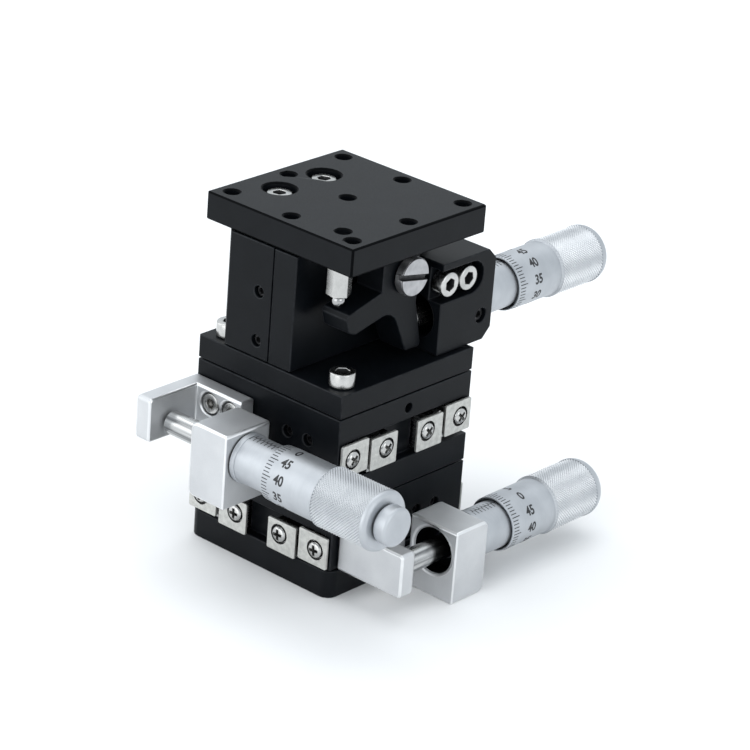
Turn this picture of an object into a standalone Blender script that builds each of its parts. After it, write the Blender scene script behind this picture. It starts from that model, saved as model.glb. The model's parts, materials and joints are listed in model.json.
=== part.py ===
"""Miniature three-axis translation stage.

Three crossed-roller slides are stacked: Y at the bottom, X on it and Z standing
upright on top, where a bell crank turns the push of a level micrometer into lift.
Metres, +Z up, origin at the middle of the base's lower face. The slides are shown
centred, and the lift is at its lowest position.
"""

import math

import bmesh
import bpy
from mathutils import Matrix, Vector

MM = 0.001

# General clearances and cutting
gap = 0.3 * MM
thread_gap = 0.2 * MM
overrun = 0.5 * MM
same_line = 0.005 * MM
weld_reach = 0.01 * MM
merge_reach = 0.001 * MM
sharp_angle = math.radians(35)
round_share = 0.5

# Plates of the three slides
plate_w = 40.0 * MM
base_t = 6.1 * MM
table_t = 5.5 * MM
base_corner = 2.5 * MM
y_rise = 8.0 * MM
x_rise = 8.7 * MM
z_rise = 8.6 * MM
wall_drop = 7.35 * MM
rib_setback = 2.25 * MM
rib_relief = 1.0 * MM

# Crossed roller ways
wall_t = 1.9 * MM
way_gap = 0.8 * MM
rail_w = 6.05 * MM
groove_drop = 4.15 * MM
roller_d = 2.0 * MM
roller_l = 1.9 * MM
roller_pitch = 4.0 * MM
cage_t = 0.2 * MM
cage_margin = 0.9 * MM
level_rollers = 7
lift_rollers = 4

# End caps of the ways and the holes of their screws
cap_w = 7.8 * MM
cap_h = 7.0 * MM
cap_t = 0.6 * MM
cap_gap = 0.9 * MM
cap_corner = 0.3 * MM
outer_cap_drop = 0.1 * MM
cap_screw_reach = 5.05 * MM
inner_screw_drop = 4.0 * MM
outer_screw_drop = 3.6 * MM
cap_hole_r = 1.95 * MM
cap_thread_r = 1.1 * MM
cap_thread_depth = 4.8 * MM

# Socket head screws of both sizes, and the holes that take them
m3_head_r = 2.75 * MM
m3_head_h = 2.9 * MM
m3_r = 1.5 * MM
m3_socket = 2.5 * MM
m25_head_r = 2.25 * MM
m25_head_h = 2.3 * MM
m25_r = 1.25 * MM
socket_depth = 1.3 * MM
head_sink = 0.4 * MM
thread_hole_r = 1.55 * MM

# Holes for the grub screws that preload the ways
grub_hole_r = 1.3 * MM
level_grub_places = (5.9 * MM, 11.5 * MM)
level_grub_drop = 1.7 * MM
lift_grub_places = (-8.8 * MM, 1.9 * MM)
lift_grub_drop = 4.9 * MM

# L-shaped anvil brackets
bracket_t = 3.9 * MM
bracket_h = 9.6 * MM
bracket_foot = 16.5 * MM
bracket_reach = 17.55 * MM
bracket_above = 2.3 * MM
bracket_round = 0.9 * MM
bracket_screw_places = (7.5 * MM, 13.3 * MM)
bracket_screw_drop = 1.15 * MM
x_bracket_inset = 0.2 * MM
y_bracket_inset = 1.7 * MM

# Micrometer blocks
block_l = 10.0 * MM
block_w = 12.5 * MM
block_h = 16.2 * MM
block_standoff = 5.2 * MM
block_above = 2.15 * MM
block_round = 1.6 * MM
block_bore_r = 4.85 * MM
block_bore_chamfer = 0.4 * MM
foot_h = 5.0 * MM
foot_lift = 0.2 * MM
flange_l = 11.4 * MM
flange_t = 3.4 * MM
flange_screw_places = (2.9 * MM, 8.4 * MM)
flange_hole_depth = 5.3 * MM
x_flange_inset = 4.6 * MM
y_flange_inset = 0.55 * MM

# Micrometer heads
axis_standoff = 11.57 * MM
axis_drop = 3.95 * MM
spindle_r = 2.5 * MM
spindle_dome = 0.5 * MM
dome_radius_share = 0.6
dome_rise_share = 0.25
spindle_tail_r = 2.2 * MM
spindle_tail_l = 4.6 * MM
sleeve_r = 5.1 * MM
sleeve_collar_r = 5.3 * MM
sleeve_collar_l = 1.1 * MM
sleeve_tail = 13.0 * MM
sleeve_shank_l = 6.0 * MM
thimble_lip_r = 5.6 * MM
thimble_barrel_r = 5.95 * MM
thimble_bevel_l = 2.0 * MM
thimble_barrel_l = 13.6 * MM
thimble_step_l = 0.6 * MM
thimble_grip_r = 6.4 * MM
thimble_l = 28.2 * MM
thimble_round = 2.0 * MM
thimble_end_wall = 7.4 * MM
knob_neck_r = 3.3 * MM
knob_neck_l = 0.6 * MM
knob_r = 4.1 * MM
knob_l = 2.4 * MM
knob_round = 0.7 * MM
knob_spigot_l = 2.6 * MM

# The Y and lift thimbles are longer and end in a low cap, not in a knob
long_thimble_l = 30.8 * MM
long_thimble_round = 2.6 * MM
low_cap_l = 0.4 * MM
low_cap_round = 0.2 * MM
x_shown = 9.25 * MM
y_shown = 8.7 * MM
z_shown = 9.8 * MM

# Mounting plate under the lift and its screws
mount_plate_t = 5.0 * MM
mount_screw_inset_x = 4.2 * MM
mount_screw_inset_y = 4.3 * MM

# Lift slide
lift_l = 24.8 * MM
upright_face = 5.5 * MM
column_chamfer = 1.9 * MM
top_plate_t = 6.1 * MM
top_hole_inset = 3.5 * MM
column_screw_places = (-7.4 * MM, 5.8 * MM)
column_screw_l = 9.0 * MM
column_screw_sink = 4.0 * MM
counterbore_gap = 0.75 * MM

# Lift pin with its ball
pin_x = 12.0 * MM
pin_inset = 5.7 * MM
pin_flats = 4.5 * MM
pin_turn = math.radians(21.0)
pin_l = 7.2 * MM
pin_thread_l = 5.0 * MM
ball_r = 1.5 * MM
ball_show = 2.6 * MM

# Bell crank and its pivot screw
pivot_y = 1.8 * MM
pivot_drop = 5.9 * MM
pivot_r = 2.0 * MM
pivot_head_r = 4.1 * MM
pivot_head_t = 2.1 * MM
pivot_bite = 4.6 * MM
slot_w = 1.1 * MM
slot_depth = 0.8 * MM
slot_tilt = math.radians(-11.0)
crank_t = 7.0 * MM
crank_back = 8.7 * MM
crank_boss_r = 3.6 * MM
crank_past_pin = 0.7 * MM
crank_arm_fall = 4.75 * MM
crank_arm_root = 2.3 * MM
crank_leg = 17.3 * MM
crank_leg_bend = 7.2 * MM
crank_leg_kick = 2.2 * MM
crank_leg_w = 4.4 * MM
crank_toe = 1.0 * MM
crank_toe_cut = 0.3 * MM
crank_hub_l = 7.1 * MM
crank_hub_r = 3.6 * MM
crank_hub_top = 4.4 * MM
crank_hub_corner = 1.0 * MM
crank_elbow_r = 4.2 * MM

# Inner corner of the crank from its pivot, and its nose from the top of the arm's end
crank_elbow = (-3.3 * MM, -7.0 * MM)
crank_nose = ((2.4 * MM, -4.8 * MM), (0.6 * MM, -4.0 * MM), (-0.3 * MM, -1.0 * MM), (0.2 * MM, 0))

# Block that holds the lift's micrometer
lift_block_l = 16.6 * MM
lift_block_w = 13.0 * MM
lift_block_h = 20.1 * MM
lift_block_inset = 10.4 * MM
lift_block_chamfer = 2.3 * MM
lift_axis_x = 12.2 * MM
lift_axis_up = 7.1 * MM
lift_slot_h = 7.2 * MM
lift_slot_depth = 3.4 * MM
lift_slot_l = 13.0 * MM
lift_slot_drop = 5.1 * MM
lift_screw_places = (2.8 * MM, 8.6 * MM)
lift_screw_bite = 4.6 * MM
clamp_screw_y = 13.2 * MM
clamp_screw_drop = 1.5 * MM
lift_tip_reach = 5.33 * MM

# Small tapped holes
end_hole_r = 1.1 * MM
end_hole_depth = 5.0 * MM
end_hole_offset = 0.8 * MM
end_hole_drop = 3.0 * MM
foot_hole_r = 1.6 * MM
foot_hole_inset = 4.0 * MM

# Facets round a circle
hole_sides = 20
screw_sides = 14
turned_sides = 36
knob_sides = 24
spindle_sides = 20
roller_sides = 10
arc_steps = 4

# Places that follow from the sizes above
half = plate_w / 2
way_offset = half - wall_t - gap - rail_w - way_gap / 2
foot_hole_pitch = half - foot_hole_inset
x_bracket_start = -half + x_bracket_inset
y_bracket_start = -half + y_bracket_inset
x_block_start = -half + x_flange_inset + flange_l
y_block_start = half - y_flange_inset - flange_l - block_l
thimble_bore_l = thimble_l - thimble_end_wall
inner_rail_far = way_offset - way_gap / 2
inner_rail_near = inner_rail_far - rail_w
outer_rail_near = way_offset + way_gap / 2
outer_rail_far = outer_rail_near + rail_w
rib_half = inner_rail_near - gap
wall_inside = outer_rail_far + gap
groove_depth = (roller_d / 2 + gap) * math.sqrt(2) - way_gap / 2
y_under = base_t + y_rise
x_floor = y_under + table_t + gap
x_under = x_floor + base_t + x_rise
mount_floor = x_under + table_t + gap
mount_top = mount_floor + mount_plate_t
lift_floor = mount_top + gap
lift_top = lift_floor + lift_l
top_floor = lift_top + gap
lift_mid = (lift_floor + lift_top) / 2
column_face = upright_face - base_t - z_rise - table_t
column_screw_x = column_face + table_t / 2
mount_screw_x = half - mount_screw_inset_x
mount_screw_y = half - mount_screw_inset_y
top_hole_pitch = half - top_hole_inset
pin_y = -half + pin_inset
crank_arm = pivot_y - pin_y + crank_past_pin
lift_tip_y = pivot_y + lift_tip_reach
lift_block_y = half - lift_block_inset
pivot_z = top_floor - pivot_drop
lift_axis_z = lift_floor + lift_axis_up
m3_sizes = (m3_head_r, m3_head_h, m3_r, m3_socket)


class Slide:
    """Where one slide stands: travel along its local X, ways across local Y."""

    def __init__(self, name, origin, turn, length, rise, wall, sides, front):
        self.name = name
        self.sides = sides
        self.front = front
        self.origin = Vector(origin)
        self.turn = turn
        self.length = length
        self.under = base_t + rise
        self.wall = wall

    def frame(self):
        return Matrix.Translation(self.origin) @ self.turn.to_4x4()


level_sides = {1: "back", -1: "front"}
y_slide = Slide("y", (0, 0, 0), Matrix.Rotation(math.radians(90), 3, "Z"), plate_w, y_rise, wall_drop,
                {1: "left", -1: "right"}, -1)
x_slide = Slide("x", (0, 0, x_floor), Matrix.Identity(3), plate_w, x_rise, wall_drop, level_sides, 1)
z_slide = Slide("lift", (upright_face, 0, lift_mid), Matrix.Rotation(math.radians(-90), 3, "Y"),
                lift_l, z_rise, z_rise - gap, level_sides, 1)


def clear_scene():
    for item in list(bpy.data.objects):
        bpy.data.objects.remove(item)


def make_collection(name):
    collection = bpy.data.collections.new(name)
    bpy.context.scene.collection.children.link(collection)
    return collection


def make_material(name, colour, roughness, metallic):
    material = bpy.data.materials.new(name)
    material.use_nodes = True
    shader = material.node_tree.nodes["Principled BSDF"]
    shader.inputs["Base Color"].default_value = (*colour, 1.0)
    shader.inputs["Roughness"].default_value = roughness
    shader.inputs["Metallic"].default_value = metallic
    return material


clear_scene()
stage_parts = make_collection("translation_stage")
cutting_shapes = make_collection("cutting_shapes")
black = make_material("black_anodised", (0.022, 0.024, 0.028), 0.45, 0.6)
silver = make_material("bead_blasted_aluminium", (0.62, 0.63, 0.65), 0.5, 1.0)
satin = make_material("satin_chrome", (0.5, 0.52, 0.55), 0.35, 1.0)
steel = make_material("bright_steel", (0.55, 0.55, 0.55), 0.25, 1.0)
cap_steel = make_material("sandblasted_steel", (0.6, 0.6, 0.58), 0.5, 1.0)
way_steel = make_material("ground_steel", (0.5, 0.5, 0.5), 0.2, 1.0)


def make_axis(name, place, parent=None):
    """An empty that carries the pieces of one moving body."""
    axis = bpy.data.objects.new(name, None)
    stage_parts.objects.link(axis)
    axis.parent = parent
    shift = Vector(place)
    while parent:
        shift -= parent.location
        parent = parent.parent
    axis.location = shift
    return axis


def world_place(item):
    place = Vector((0, 0, 0))
    while item:
        place += item.location
        item = item.parent
    return place


def finish(item, name, material, carrier, place, turn=None):
    """Names a piece, gives it its material and hangs it on its carrier."""
    item.name = name
    item.data.name = name
    item.data.materials.clear()
    item.data.materials.append(material)
    item.parent = carrier
    item.location = Vector(place) - world_place(carrier)
    if turn is not None:
        item.rotation_euler = turn.to_euler()
    item.data.shade_smooth()
    item.data.set_sharp_from_angle(angle=sharp_angle)
    return item


def finish_on(slide, item, name, material, carrier, place):
    """The same, with the place given in the slide's own directions."""
    return finish(item, name, material, carrier, slide.frame() @ Vector(place), slide.turn)


def from_bmesh(shape, collection=None):
    mesh = bpy.data.meshes.new("shape")
    shape.to_mesh(mesh)
    shape.free()
    item = bpy.data.objects.new("shape", mesh)
    (collection or stage_parts).objects.link(item)
    return item


def box_shape(size, centre=(0, 0, 0)):
    shape = bmesh.new()
    bmesh.ops.create_cube(shape, size=1.0)
    bmesh.ops.scale(shape, vec=size, verts=shape.verts)
    bmesh.ops.translate(shape, vec=centre, verts=shape.verts)
    return shape


def round_edges(shape, wanted, radius, segments):
    """Rounds, or with one segment chamfers, the edges that wanted picks by their ends."""
    edges = [edge for edge in shape.edges if wanted(edge.verts[0].co, edge.verts[1].co)]
    bmesh.ops.bevel(shape, geom=edges, offset=radius, segments=segments, profile=round_share,
                    affect="EDGES")
    return shape


def runs_along(axis):
    others = [number for number in range(3) if number != axis]

    def test(first, last):
        return all(abs(first[number] - last[number]) < same_line for number in others)
    return test


def add_box(size, centre=(0, 0, 0), collection=None):
    return from_bmesh(box_shape(size, centre), collection)


def cylinder_shape(shape, radius, low, high, axis, spot, sides):
    """Adds a closed cylinder that runs from low to high along an axis through spot."""
    directions = {"X": Vector((1, 0, 0)), "Y": Vector((0, 1, 0)), "Z": Vector((0, 0, 1))}
    along = directions[axis]
    turn = along.to_track_quat("Z", "Y").to_matrix().to_4x4()
    middle = Vector(spot) + along * (low + high) / 2
    bmesh.ops.create_cone(shape, cap_ends=True, segments=sides, radius1=radius, radius2=radius,
                          depth=high - low, matrix=Matrix.Translation(middle) @ turn)


def add_cutter(shape, target):
    """Turns a shape in the target's own directions into a hidden cutter."""
    cutter = from_bmesh(shape, cutting_shapes)
    cutter.parent = target
    cutter.hide_render = True
    cutter.display_type = "WIRE"
    return cutter


def combine(target, shape, operation):
    cutter = add_cutter(shape, target)
    cutter.name = "shaping_" + str(len(cutting_shapes.objects))
    modifier = target.modifiers.new(operation.lower(), "BOOLEAN")
    modifier.operation = operation
    modifier.object = cutter
    modifier.solver = "EXACT"


def cut(target, shape):
    combine(target, shape, "DIFFERENCE")


def join(target, shape):
    combine(target, shape, "UNION")


def drill(target, radius, low, high, axis, spots, sides=hole_sides):
    """Cuts equal round holes, from low to high along the target's axis at each spot."""
    shape = bmesh.new()
    for spot in spots:
        cylinder_shape(shape, radius, low, high, axis, spot, sides)
    cut(target, shape)


def add_outline(points, thickness):
    """A flat outline with a thickness, as a welded mesh centred on its plane."""
    curve = bpy.data.curves.new("outline", "CURVE")
    curve.dimensions = "2D"
    curve.fill_mode = "BOTH"
    curve.extrude = thickness / 2
    spline = curve.splines.new("POLY")
    spline.points.add(len(points) - 1)
    for point, (across, up) in zip(spline.points, points):
        point.co = (across, up, 0, 1)
    spline.use_cyclic_u = True
    drawn = bpy.data.objects.new("outline", curve)
    stage_parts.objects.link(drawn)
    bpy.context.view_layer.update()
    mesh = bpy.data.meshes.new_from_object(drawn.evaluated_get(bpy.context.evaluated_depsgraph_get()))
    bpy.data.objects.remove(drawn)
    shape = bmesh.new()
    shape.from_mesh(mesh)
    bpy.data.meshes.remove(mesh)
    bmesh.ops.remove_doubles(shape, verts=shape.verts, dist=weld_reach)
    bmesh.ops.recalc_face_normals(shape, faces=shape.faces)
    return shape


def stand_outline(shape, along):
    """Turns an outline drawn across and up so that its thickness lies along an axis."""
    turns = {
        "X": Matrix(((0, 0, 1), (1, 0, 0), (0, 1, 0))),
        "Y": Matrix(((1, 0, 0), (0, 0, -1), (0, 1, 0))),
        "Z": Matrix.Identity(3),
    }
    bmesh.ops.transform(shape, matrix=turns[along].to_4x4(), verts=shape.verts)
    return shape


def arc(centre, radius, start, end, steps=arc_steps):
    """Points on an arc, with its angles in degrees."""
    points = []
    for step in range(steps + 1):
        angle = math.radians(start + (end - start) * step / steps)
        points.append((centre[0] + radius * math.cos(angle), centre[1] + radius * math.sin(angle)))
    return points


def fillet(before, corner, after, radius, steps=arc_steps):
    """Points of the round that joins two lines of an outline at their corner."""
    corner = Vector(corner)
    first = (Vector(before) - corner).normalized()
    last = (Vector(after) - corner).normalized()
    opening = first.angle(last)
    centre = corner + (first + last).normalized() * radius / math.sin(opening / 2)
    start = (corner + first * radius / math.tan(opening / 2) - centre).normalized()
    end = (corner + last * radius / math.tan(opening / 2) - centre).normalized()
    turned = [start.slerp(end, step / steps) for step in range(steps + 1)]
    return [(centre + direction * radius).to_tuple() for direction in turned]


def add_turned(profile, sides, closed=True):
    """A turned shape: its profile runs down the outer side, top to bottom."""
    mesh = bpy.data.meshes.new("turned")
    points = [(radius, 0, height) for radius, height in profile]
    edges = [(number, number + 1) for number in range(len(points) - 1)]
    if closed:
        edges.append((len(points) - 1, 0))
    mesh.from_pydata(points, edges, [])
    item = bpy.data.objects.new("turned", mesh)
    stage_parts.objects.link(item)
    modifier = item.modifiers.new("screw", "SCREW")
    modifier.axis = "Z"
    modifier.steps = sides
    modifier.render_steps = sides
    modifier.use_merge_vertices = True
    modifier.merge_threshold = merge_reach
    modifier.use_smooth_shade = True
    return item


def screw_shape(shape, head_r, head_h, shank_r, shank_l, matrix):
    """Adds a screw whose head sits on its local origin and whose shank points down."""
    part = bmesh.new()
    cylinder_shape(part, head_r, 0, head_h, "Z", (0, 0, 0), screw_sides)
    under = [min(part.faces, key=lambda face: face.calc_center_median().z)]
    shank = bmesh.ops.extrude_discrete_faces(part, faces=under)
    vertices = [vert for face in shank["faces"] for vert in face.verts]
    share = shank_r / head_r
    bmesh.ops.scale(part, vec=(share, share, 1), verts=vertices)
    shank = bmesh.ops.extrude_discrete_faces(part, faces=shank["faces"])
    vertices = [vert for face in shank["faces"] for vert in face.verts]
    bmesh.ops.translate(part, vec=(0, 0, -shank_l), verts=vertices)
    bmesh.ops.transform(part, matrix=matrix, verts=part.verts)
    mesh = bpy.data.meshes.new("screw")
    part.to_mesh(mesh)
    part.free()
    shape.from_mesh(mesh)
    bpy.data.meshes.remove(mesh)


def prism_shape(shape, flats, depth, matrix):
    """Adds a hexagonal recess that reaches depth below its local origin."""
    turned = matrix @ Matrix.Translation((0, 0, (overrun - depth) / 2))
    radius = flats / math.sqrt(3)
    bmesh.ops.create_cone(shape, cap_ends=True, segments=6, radius1=radius, radius2=radius,
                          depth=depth + overrun, matrix=turned)


def add_socket_screw(name, sizes, length, carrier, seat, turn):
    """One socket head screw whose head sits at seat and points along the turned Z."""
    head_r, head_h, shank_r, flats = sizes
    body = bmesh.new()
    screw_shape(body, head_r, head_h, shank_r, length, Matrix.Identity(4))
    screw = from_bmesh(body)
    socket = bmesh.new()
    prism_shape(socket, flats, socket_depth, Matrix.Translation((0, 0, head_h)))
    cut(screw, socket)
    return finish(screw, name, steel, carrier, seat, turn)


def face_turn(axis, sign):
    """Turns local Z to point along an axis."""
    direction = {"X": Vector((1, 0, 0)), "Y": Vector((0, 1, 0)), "Z": Vector((0, 0, 1))}[axis] * sign
    return direction.to_track_quat("Z", "Y").to_matrix()


def ways_rib(slide):
    """The rib that the inner rails are screwed against."""
    top = slide.under - rib_relief
    low = base_t - overrun
    size = (slide.length - 2 * rib_setback, 2 * rib_half, top - low)
    return box_shape(size, (0, 0, (top + low) / 2 - base_t / 2))


def make_slide_base(slide, name, carrier, corner):
    """The lower plate of a slide with its rib, its local origin at mid thickness."""
    shape = box_shape((slide.length, plate_w, base_t))
    if corner:
        round_edges(shape, runs_along(2), corner, arc_steps)
    base = from_bmesh(shape)
    join(base, ways_rib(slide))
    return finish_on(slide, base, name, black, carrier, (0, 0, base_t / 2))


def make_slide_table(slide, name, carrier, chamfer):
    """The channel that runs over the rib, its local origin at the plate's underside."""
    height = table_t + slide.wall
    shape = box_shape((slide.length, plate_w, height), (0, 0, (table_t - slide.wall) / 2))
    if chamfer:
        def wanted(first, last):
            return runs_along(0)(first, last) and first.z > 0
        round_edges(shape, wanted, chamfer, 1)
    table = from_bmesh(shape)
    inside = (slide.length + 2 * overrun, 2 * wall_inside, slide.wall + overrun)
    cut(table, box_shape(inside, (0, 0, -(slide.wall + overrun) / 2)))
    return finish_on(slide, table, name, black, carrier, (0, 0, slide.under))


def rail_outline(near, far, low, high, groove):
    """Section of a rail; its groove side is near, and far is its plain back."""
    inward = math.copysign(groove_depth, far - near)
    return [
        (far, low),
        (far, high),
        (near, high),
        (near, groove + groove_depth),
        (near + inward, groove),
        (near, groove - groove_depth),
        (near, low),
    ]


def make_rail(slide, name, carrier, near, far, low, high, screw_spot):
    """One rail with its groove and, on a level slide, its end screw holes."""
    groove = slide.under - groove_drop
    outline = rail_outline(near, far, low, high, groove)
    shape = stand_outline(add_outline(outline, slide.length), "X")
    rail = from_bmesh(shape)
    if slide is not z_slide:
        ends = bmesh.new()
        for end in (-slide.length / 2, slide.length / 2):
            cylinder_shape(ends, cap_thread_r, end - cap_thread_depth, end + cap_thread_depth, "X",
                           (0, *screw_spot), hole_sides)
        cut(rail, ends)
    return finish_on(slide, rail, name, way_steel, carrier, (0, 0, 0))


def make_cap(slide, name, carrier, middle, screw_spot):
    """One end cap at the front end of a rail."""
    shape = box_shape((cap_t, cap_w, cap_h))
    round_edges(shape, runs_along(0), cap_corner, 2)
    cap = from_bmesh(shape)
    spot = (0, screw_spot[0] - middle[0], screw_spot[1] - middle[1])
    drill(cap, cap_hole_r, -cap_t, cap_t, "X", [spot])
    along = slide.front * (slide.length / 2 + gap + cap_t / 2)
    return finish_on(slide, cap, name, cap_steel, carrier, (along, *middle))


def make_cage(slide, side, count, carrier):
    """A strip that carries its rollers, which lean to one side and the other in turn."""
    height = 2 * roller_d + 2 * cage_margin
    strip = add_box((count * roller_pitch, cage_t, height))
    rollers = bmesh.new()
    for number in range(count):
        place = (number - (count - 1) / 2) * roller_pitch
        lean = Matrix.Rotation(math.radians(45 if number % 2 else -45), 4, "X")
        bmesh.ops.create_cone(rollers, cap_ends=True, segments=roller_sides, radius1=roller_d / 2,
                              radius2=roller_d / 2, depth=roller_l,
                              matrix=Matrix.Translation((place, 0, 0)) @ lean)
    join(strip, rollers)
    name = slide.name + "_roller_cage_" + slide.sides[side]
    middle = (0, side * way_offset, slide.under - groove_drop)
    finish_on(slide, strip, name, way_steel, carrier, middle)


def make_ways(slide, fixed, moving):
    """Rails of one slide on its two halves, and on a level slide their front end caps."""
    inner_top = slide.under - rib_relief
    inner_cap = way_offset - (cap_gap + cap_w) / 2
    outer_cap = way_offset + (cap_gap + cap_w) / 2
    for side, word in slide.sides.items():
        inner_spot = (side * (way_offset - cap_screw_reach), slide.under - inner_screw_drop)
        outer_spot = (side * (way_offset + cap_screw_reach), slide.under - outer_screw_drop)
        make_rail(slide, slide.name + "_inner_rail_" + word, fixed, side * inner_rail_far,
                  side * inner_rail_near, base_t + gap, inner_top, inner_spot)
        make_rail(slide, slide.name + "_outer_rail_" + word, moving, side * outer_rail_near,
                  side * outer_rail_far, slide.under - slide.wall, slide.under - gap, outer_spot)
        if slide is z_slide:
            continue
        make_cap(slide, slide.name + "_inner_end_cap_" + word, fixed,
                 (side * inner_cap, inner_top - cap_h / 2), inner_spot)
        make_cap(slide, slide.name + "_outer_end_cap_" + word, moving,
                 (side * outer_cap, slide.under - outer_cap_drop - cap_h / 2), outer_spot)


def bracket_legs(start):
    """Foot and free leg of an anvil bracket, from the table's side outwards."""
    face = -half - gap
    foot = box_shape((bracket_foot, bracket_t, bracket_h),
                     (start + bracket_foot / 2, face - bracket_t / 2, 0))
    reach = bracket_reach - gap
    leg = box_shape((bracket_t, reach, bracket_h), (start + bracket_t / 2, face - reach / 2, 0))

    def free_end(first, last):
        return runs_along(0)(first, last) and first.y < face - reach / 2
    round_edges(leg, free_end, bracket_round, arc_steps)
    return foot, leg


def make_bracket(slide, start, table, carrier):
    """Anvil bracket on the side of a table, with the holes of its two screws."""
    middle = slide.under + bracket_above - bracket_h / 2
    foot, leg = bracket_legs(start)
    bracket = from_bmesh(foot)
    join(bracket, leg)
    face = -half - gap
    height = slide.under - bracket_screw_drop
    spots = [(start + place, 0, height - middle) for place in bracket_screw_places]
    seat = face - bracket_t + m25_head_h + head_sink
    drill(bracket, m25_r + gap, face - bracket_t, face + overrun, "Y", spots)
    drill(bracket, m25_head_r + gap, face - bracket_t - overrun, seat, "Y", spots)
    finish_on(slide, bracket, slide.name + "_anvil_bracket", silver, carrier, (0, 0, middle))
    holes = [(spot[0], 0, height - slide.under) for spot in spots]
    drill(table, m25_r + gap, -half - overrun, -wall_inside + overrun, "Y", holes)


def micrometer_line(slide):
    """Across and height of a level slide's micrometer axis."""
    return -half - axis_standoff, slide.under - axis_drop


def make_block(slide, start, far_side, base, carrier):
    """Block that holds a level micrometer, with its foot and its screw flange."""
    top = slide.under + block_above
    low = top - block_h
    inner = -half - block_standoff
    centre = (start + block_l / 2, inner - block_w / 2, (top + low) / 2)
    shape = box_shape((block_l, block_w, block_h))

    def far_edges(first, last):
        return runs_along(1)(first, last) and first.x * far_side > 0
    round_edges(shape, far_edges, block_round, arc_steps)
    block = from_bmesh(shape)
    foot_face = -half - gap - centre[1]
    foot_z = low + foot_lift + foot_h / 2 - centre[2]
    inner_face = inner - centre[1] - overrun
    side = far_side * (block_l / 2 - block_round)
    flange_end = far_side * (block_l / 2 + flange_l)
    plan = [(-side, inner_face), (-side, foot_face), (flange_end, foot_face),
            (flange_end, foot_face - flange_t), (side, foot_face - flange_t), (side, inner_face)]
    foot = stand_outline(add_outline(plan, foot_h), "Z")
    bmesh.ops.translate(foot, vec=(0, 0, foot_z), verts=foot.verts)
    join(block, foot)
    line_y, line_z = micrometer_line(slide)
    axis_spot = (0, line_y - centre[1], line_z - centre[2])
    drill(block, block_bore_r, -block_l, block_l, "X", [axis_spot], turned_sides)
    mouth = bmesh.new()
    lip = block_bore_r + block_bore_chamfer
    turn = face_turn("X", -1).to_4x4()
    place = Matrix.Translation((-block_l / 2, axis_spot[1], axis_spot[2]))
    bmesh.ops.create_cone(mouth, cap_ends=True, segments=turned_sides, radius1=lip - 2 * block_bore_chamfer,
                          radius2=lip + 2 * block_bore_chamfer, depth=4 * block_bore_chamfer,
                          matrix=place @ turn)
    cut(block, mouth)
    spots = [(far_side * (block_l / 2 + place), 0, foot_z) for place in flange_screw_places]
    drill(block, m25_r + gap, foot_face - flange_t - overrun, foot_face + overrun, "Y", spots)
    finish_on(slide, block, slide.name + "_micrometer_block", silver, carrier, centre)
    height = centre[2] + foot_z - base_t / 2
    holes = [(centre[0] + spot[0], 0, height) for spot in spots]
    drill(base, m25_r + gap, -half - overrun, -half + flange_hole_depth, "Y", holes)


def spindle_profile(reach):
    """From the tail to the domed tip, along the axis; zero is the thimble's front edge."""
    tail = thimble_bore_l - 2 * gap
    return [
        (0, tail + spindle_tail_l),
        (spindle_tail_r, tail + spindle_tail_l),
        (spindle_tail_r, tail),
        (spindle_r, tail),
        (spindle_r, -reach + spindle_dome),
        (spindle_r * dome_radius_share, -reach + spindle_dome * dome_rise_share),
        (0, -reach),
    ]


def sleeve_profile(shown):
    bore = spindle_r + gap
    shank = block_bore_r - gap
    face = -shown + gap
    return [
        (bore, sleeve_tail),
        (sleeve_r, sleeve_tail),
        (sleeve_r, face + sleeve_collar_l),
        (sleeve_collar_r, face + sleeve_collar_l),
        (sleeve_collar_r, face),
        (shank, face),
        (shank, -shown - sleeve_shank_l),
        (bore, -shown - sleeve_shank_l),
    ]


def thimble_profile(length, end_round):
    hole = spindle_tail_r + gap
    rounded = arc((thimble_grip_r - end_round, length - end_round), end_round, 90, 0)
    return [
        (hole, length),
        *rounded,
        (thimble_grip_r, thimble_barrel_l + thimble_step_l),
        (thimble_barrel_r, thimble_barrel_l),
        (thimble_barrel_r, thimble_bevel_l),
        (thimble_lip_r, 0),
        (sleeve_r + gap, 0),
        (sleeve_r + gap, thimble_bore_l),
        (hole, thimble_bore_l),
    ]


def knob_profile():
    start = thimble_l + gap
    end = start + knob_neck_l + knob_l
    spigot = spindle_tail_r
    rounded = arc((knob_r - knob_round, end - knob_round), knob_round, 90, 0, 2)
    return [
        (0, end),
        *rounded,
        (knob_r, start + knob_neck_l),
        (knob_neck_r, start + knob_neck_l),
        (knob_neck_r, start),
        (spigot, start),
        (spigot, start - knob_spigot_l),
        (0, start - knob_spigot_l),
    ]


def low_cap_profile():
    start = long_thimble_l + gap
    end = start + low_cap_l
    spigot = spindle_tail_r
    rounded = arc((knob_r - low_cap_round, end - low_cap_round), low_cap_round, 90, 0, 2)
    return [
        (0, end),
        *rounded,
        (knob_r, start),
        (spigot, start),
        (spigot, start - knob_spigot_l),
        (0, start - knob_spigot_l),
    ]


def make_micrometer(name, edge, turn, reach, shown, fixed, sliding, turning, low_cap=True):
    """Sleeve, spindle, thimble and end piece on one axis, from the thimble's front edge."""
    sleeve = add_turned(sleeve_profile(shown), turned_sides)
    finish(sleeve, name + "_sleeve", satin, fixed, edge, turn)
    spindle = add_turned(spindle_profile(reach), spindle_sides, closed=False)
    finish(spindle, name + "_spindle", steel, sliding, edge, turn)
    length = long_thimble_l if low_cap else thimble_l
    end_round = long_thimble_round if low_cap else thimble_round
    thimble = add_turned(thimble_profile(length, end_round), turned_sides)
    finish(thimble, name + "_thimble", satin, turning, edge, turn)
    end_outline = low_cap_profile() if low_cap else knob_profile()
    knob = add_turned(end_outline, knob_sides, closed=False)
    finish(knob, name + "_end_knob", satin, turning, edge, turn)


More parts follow.
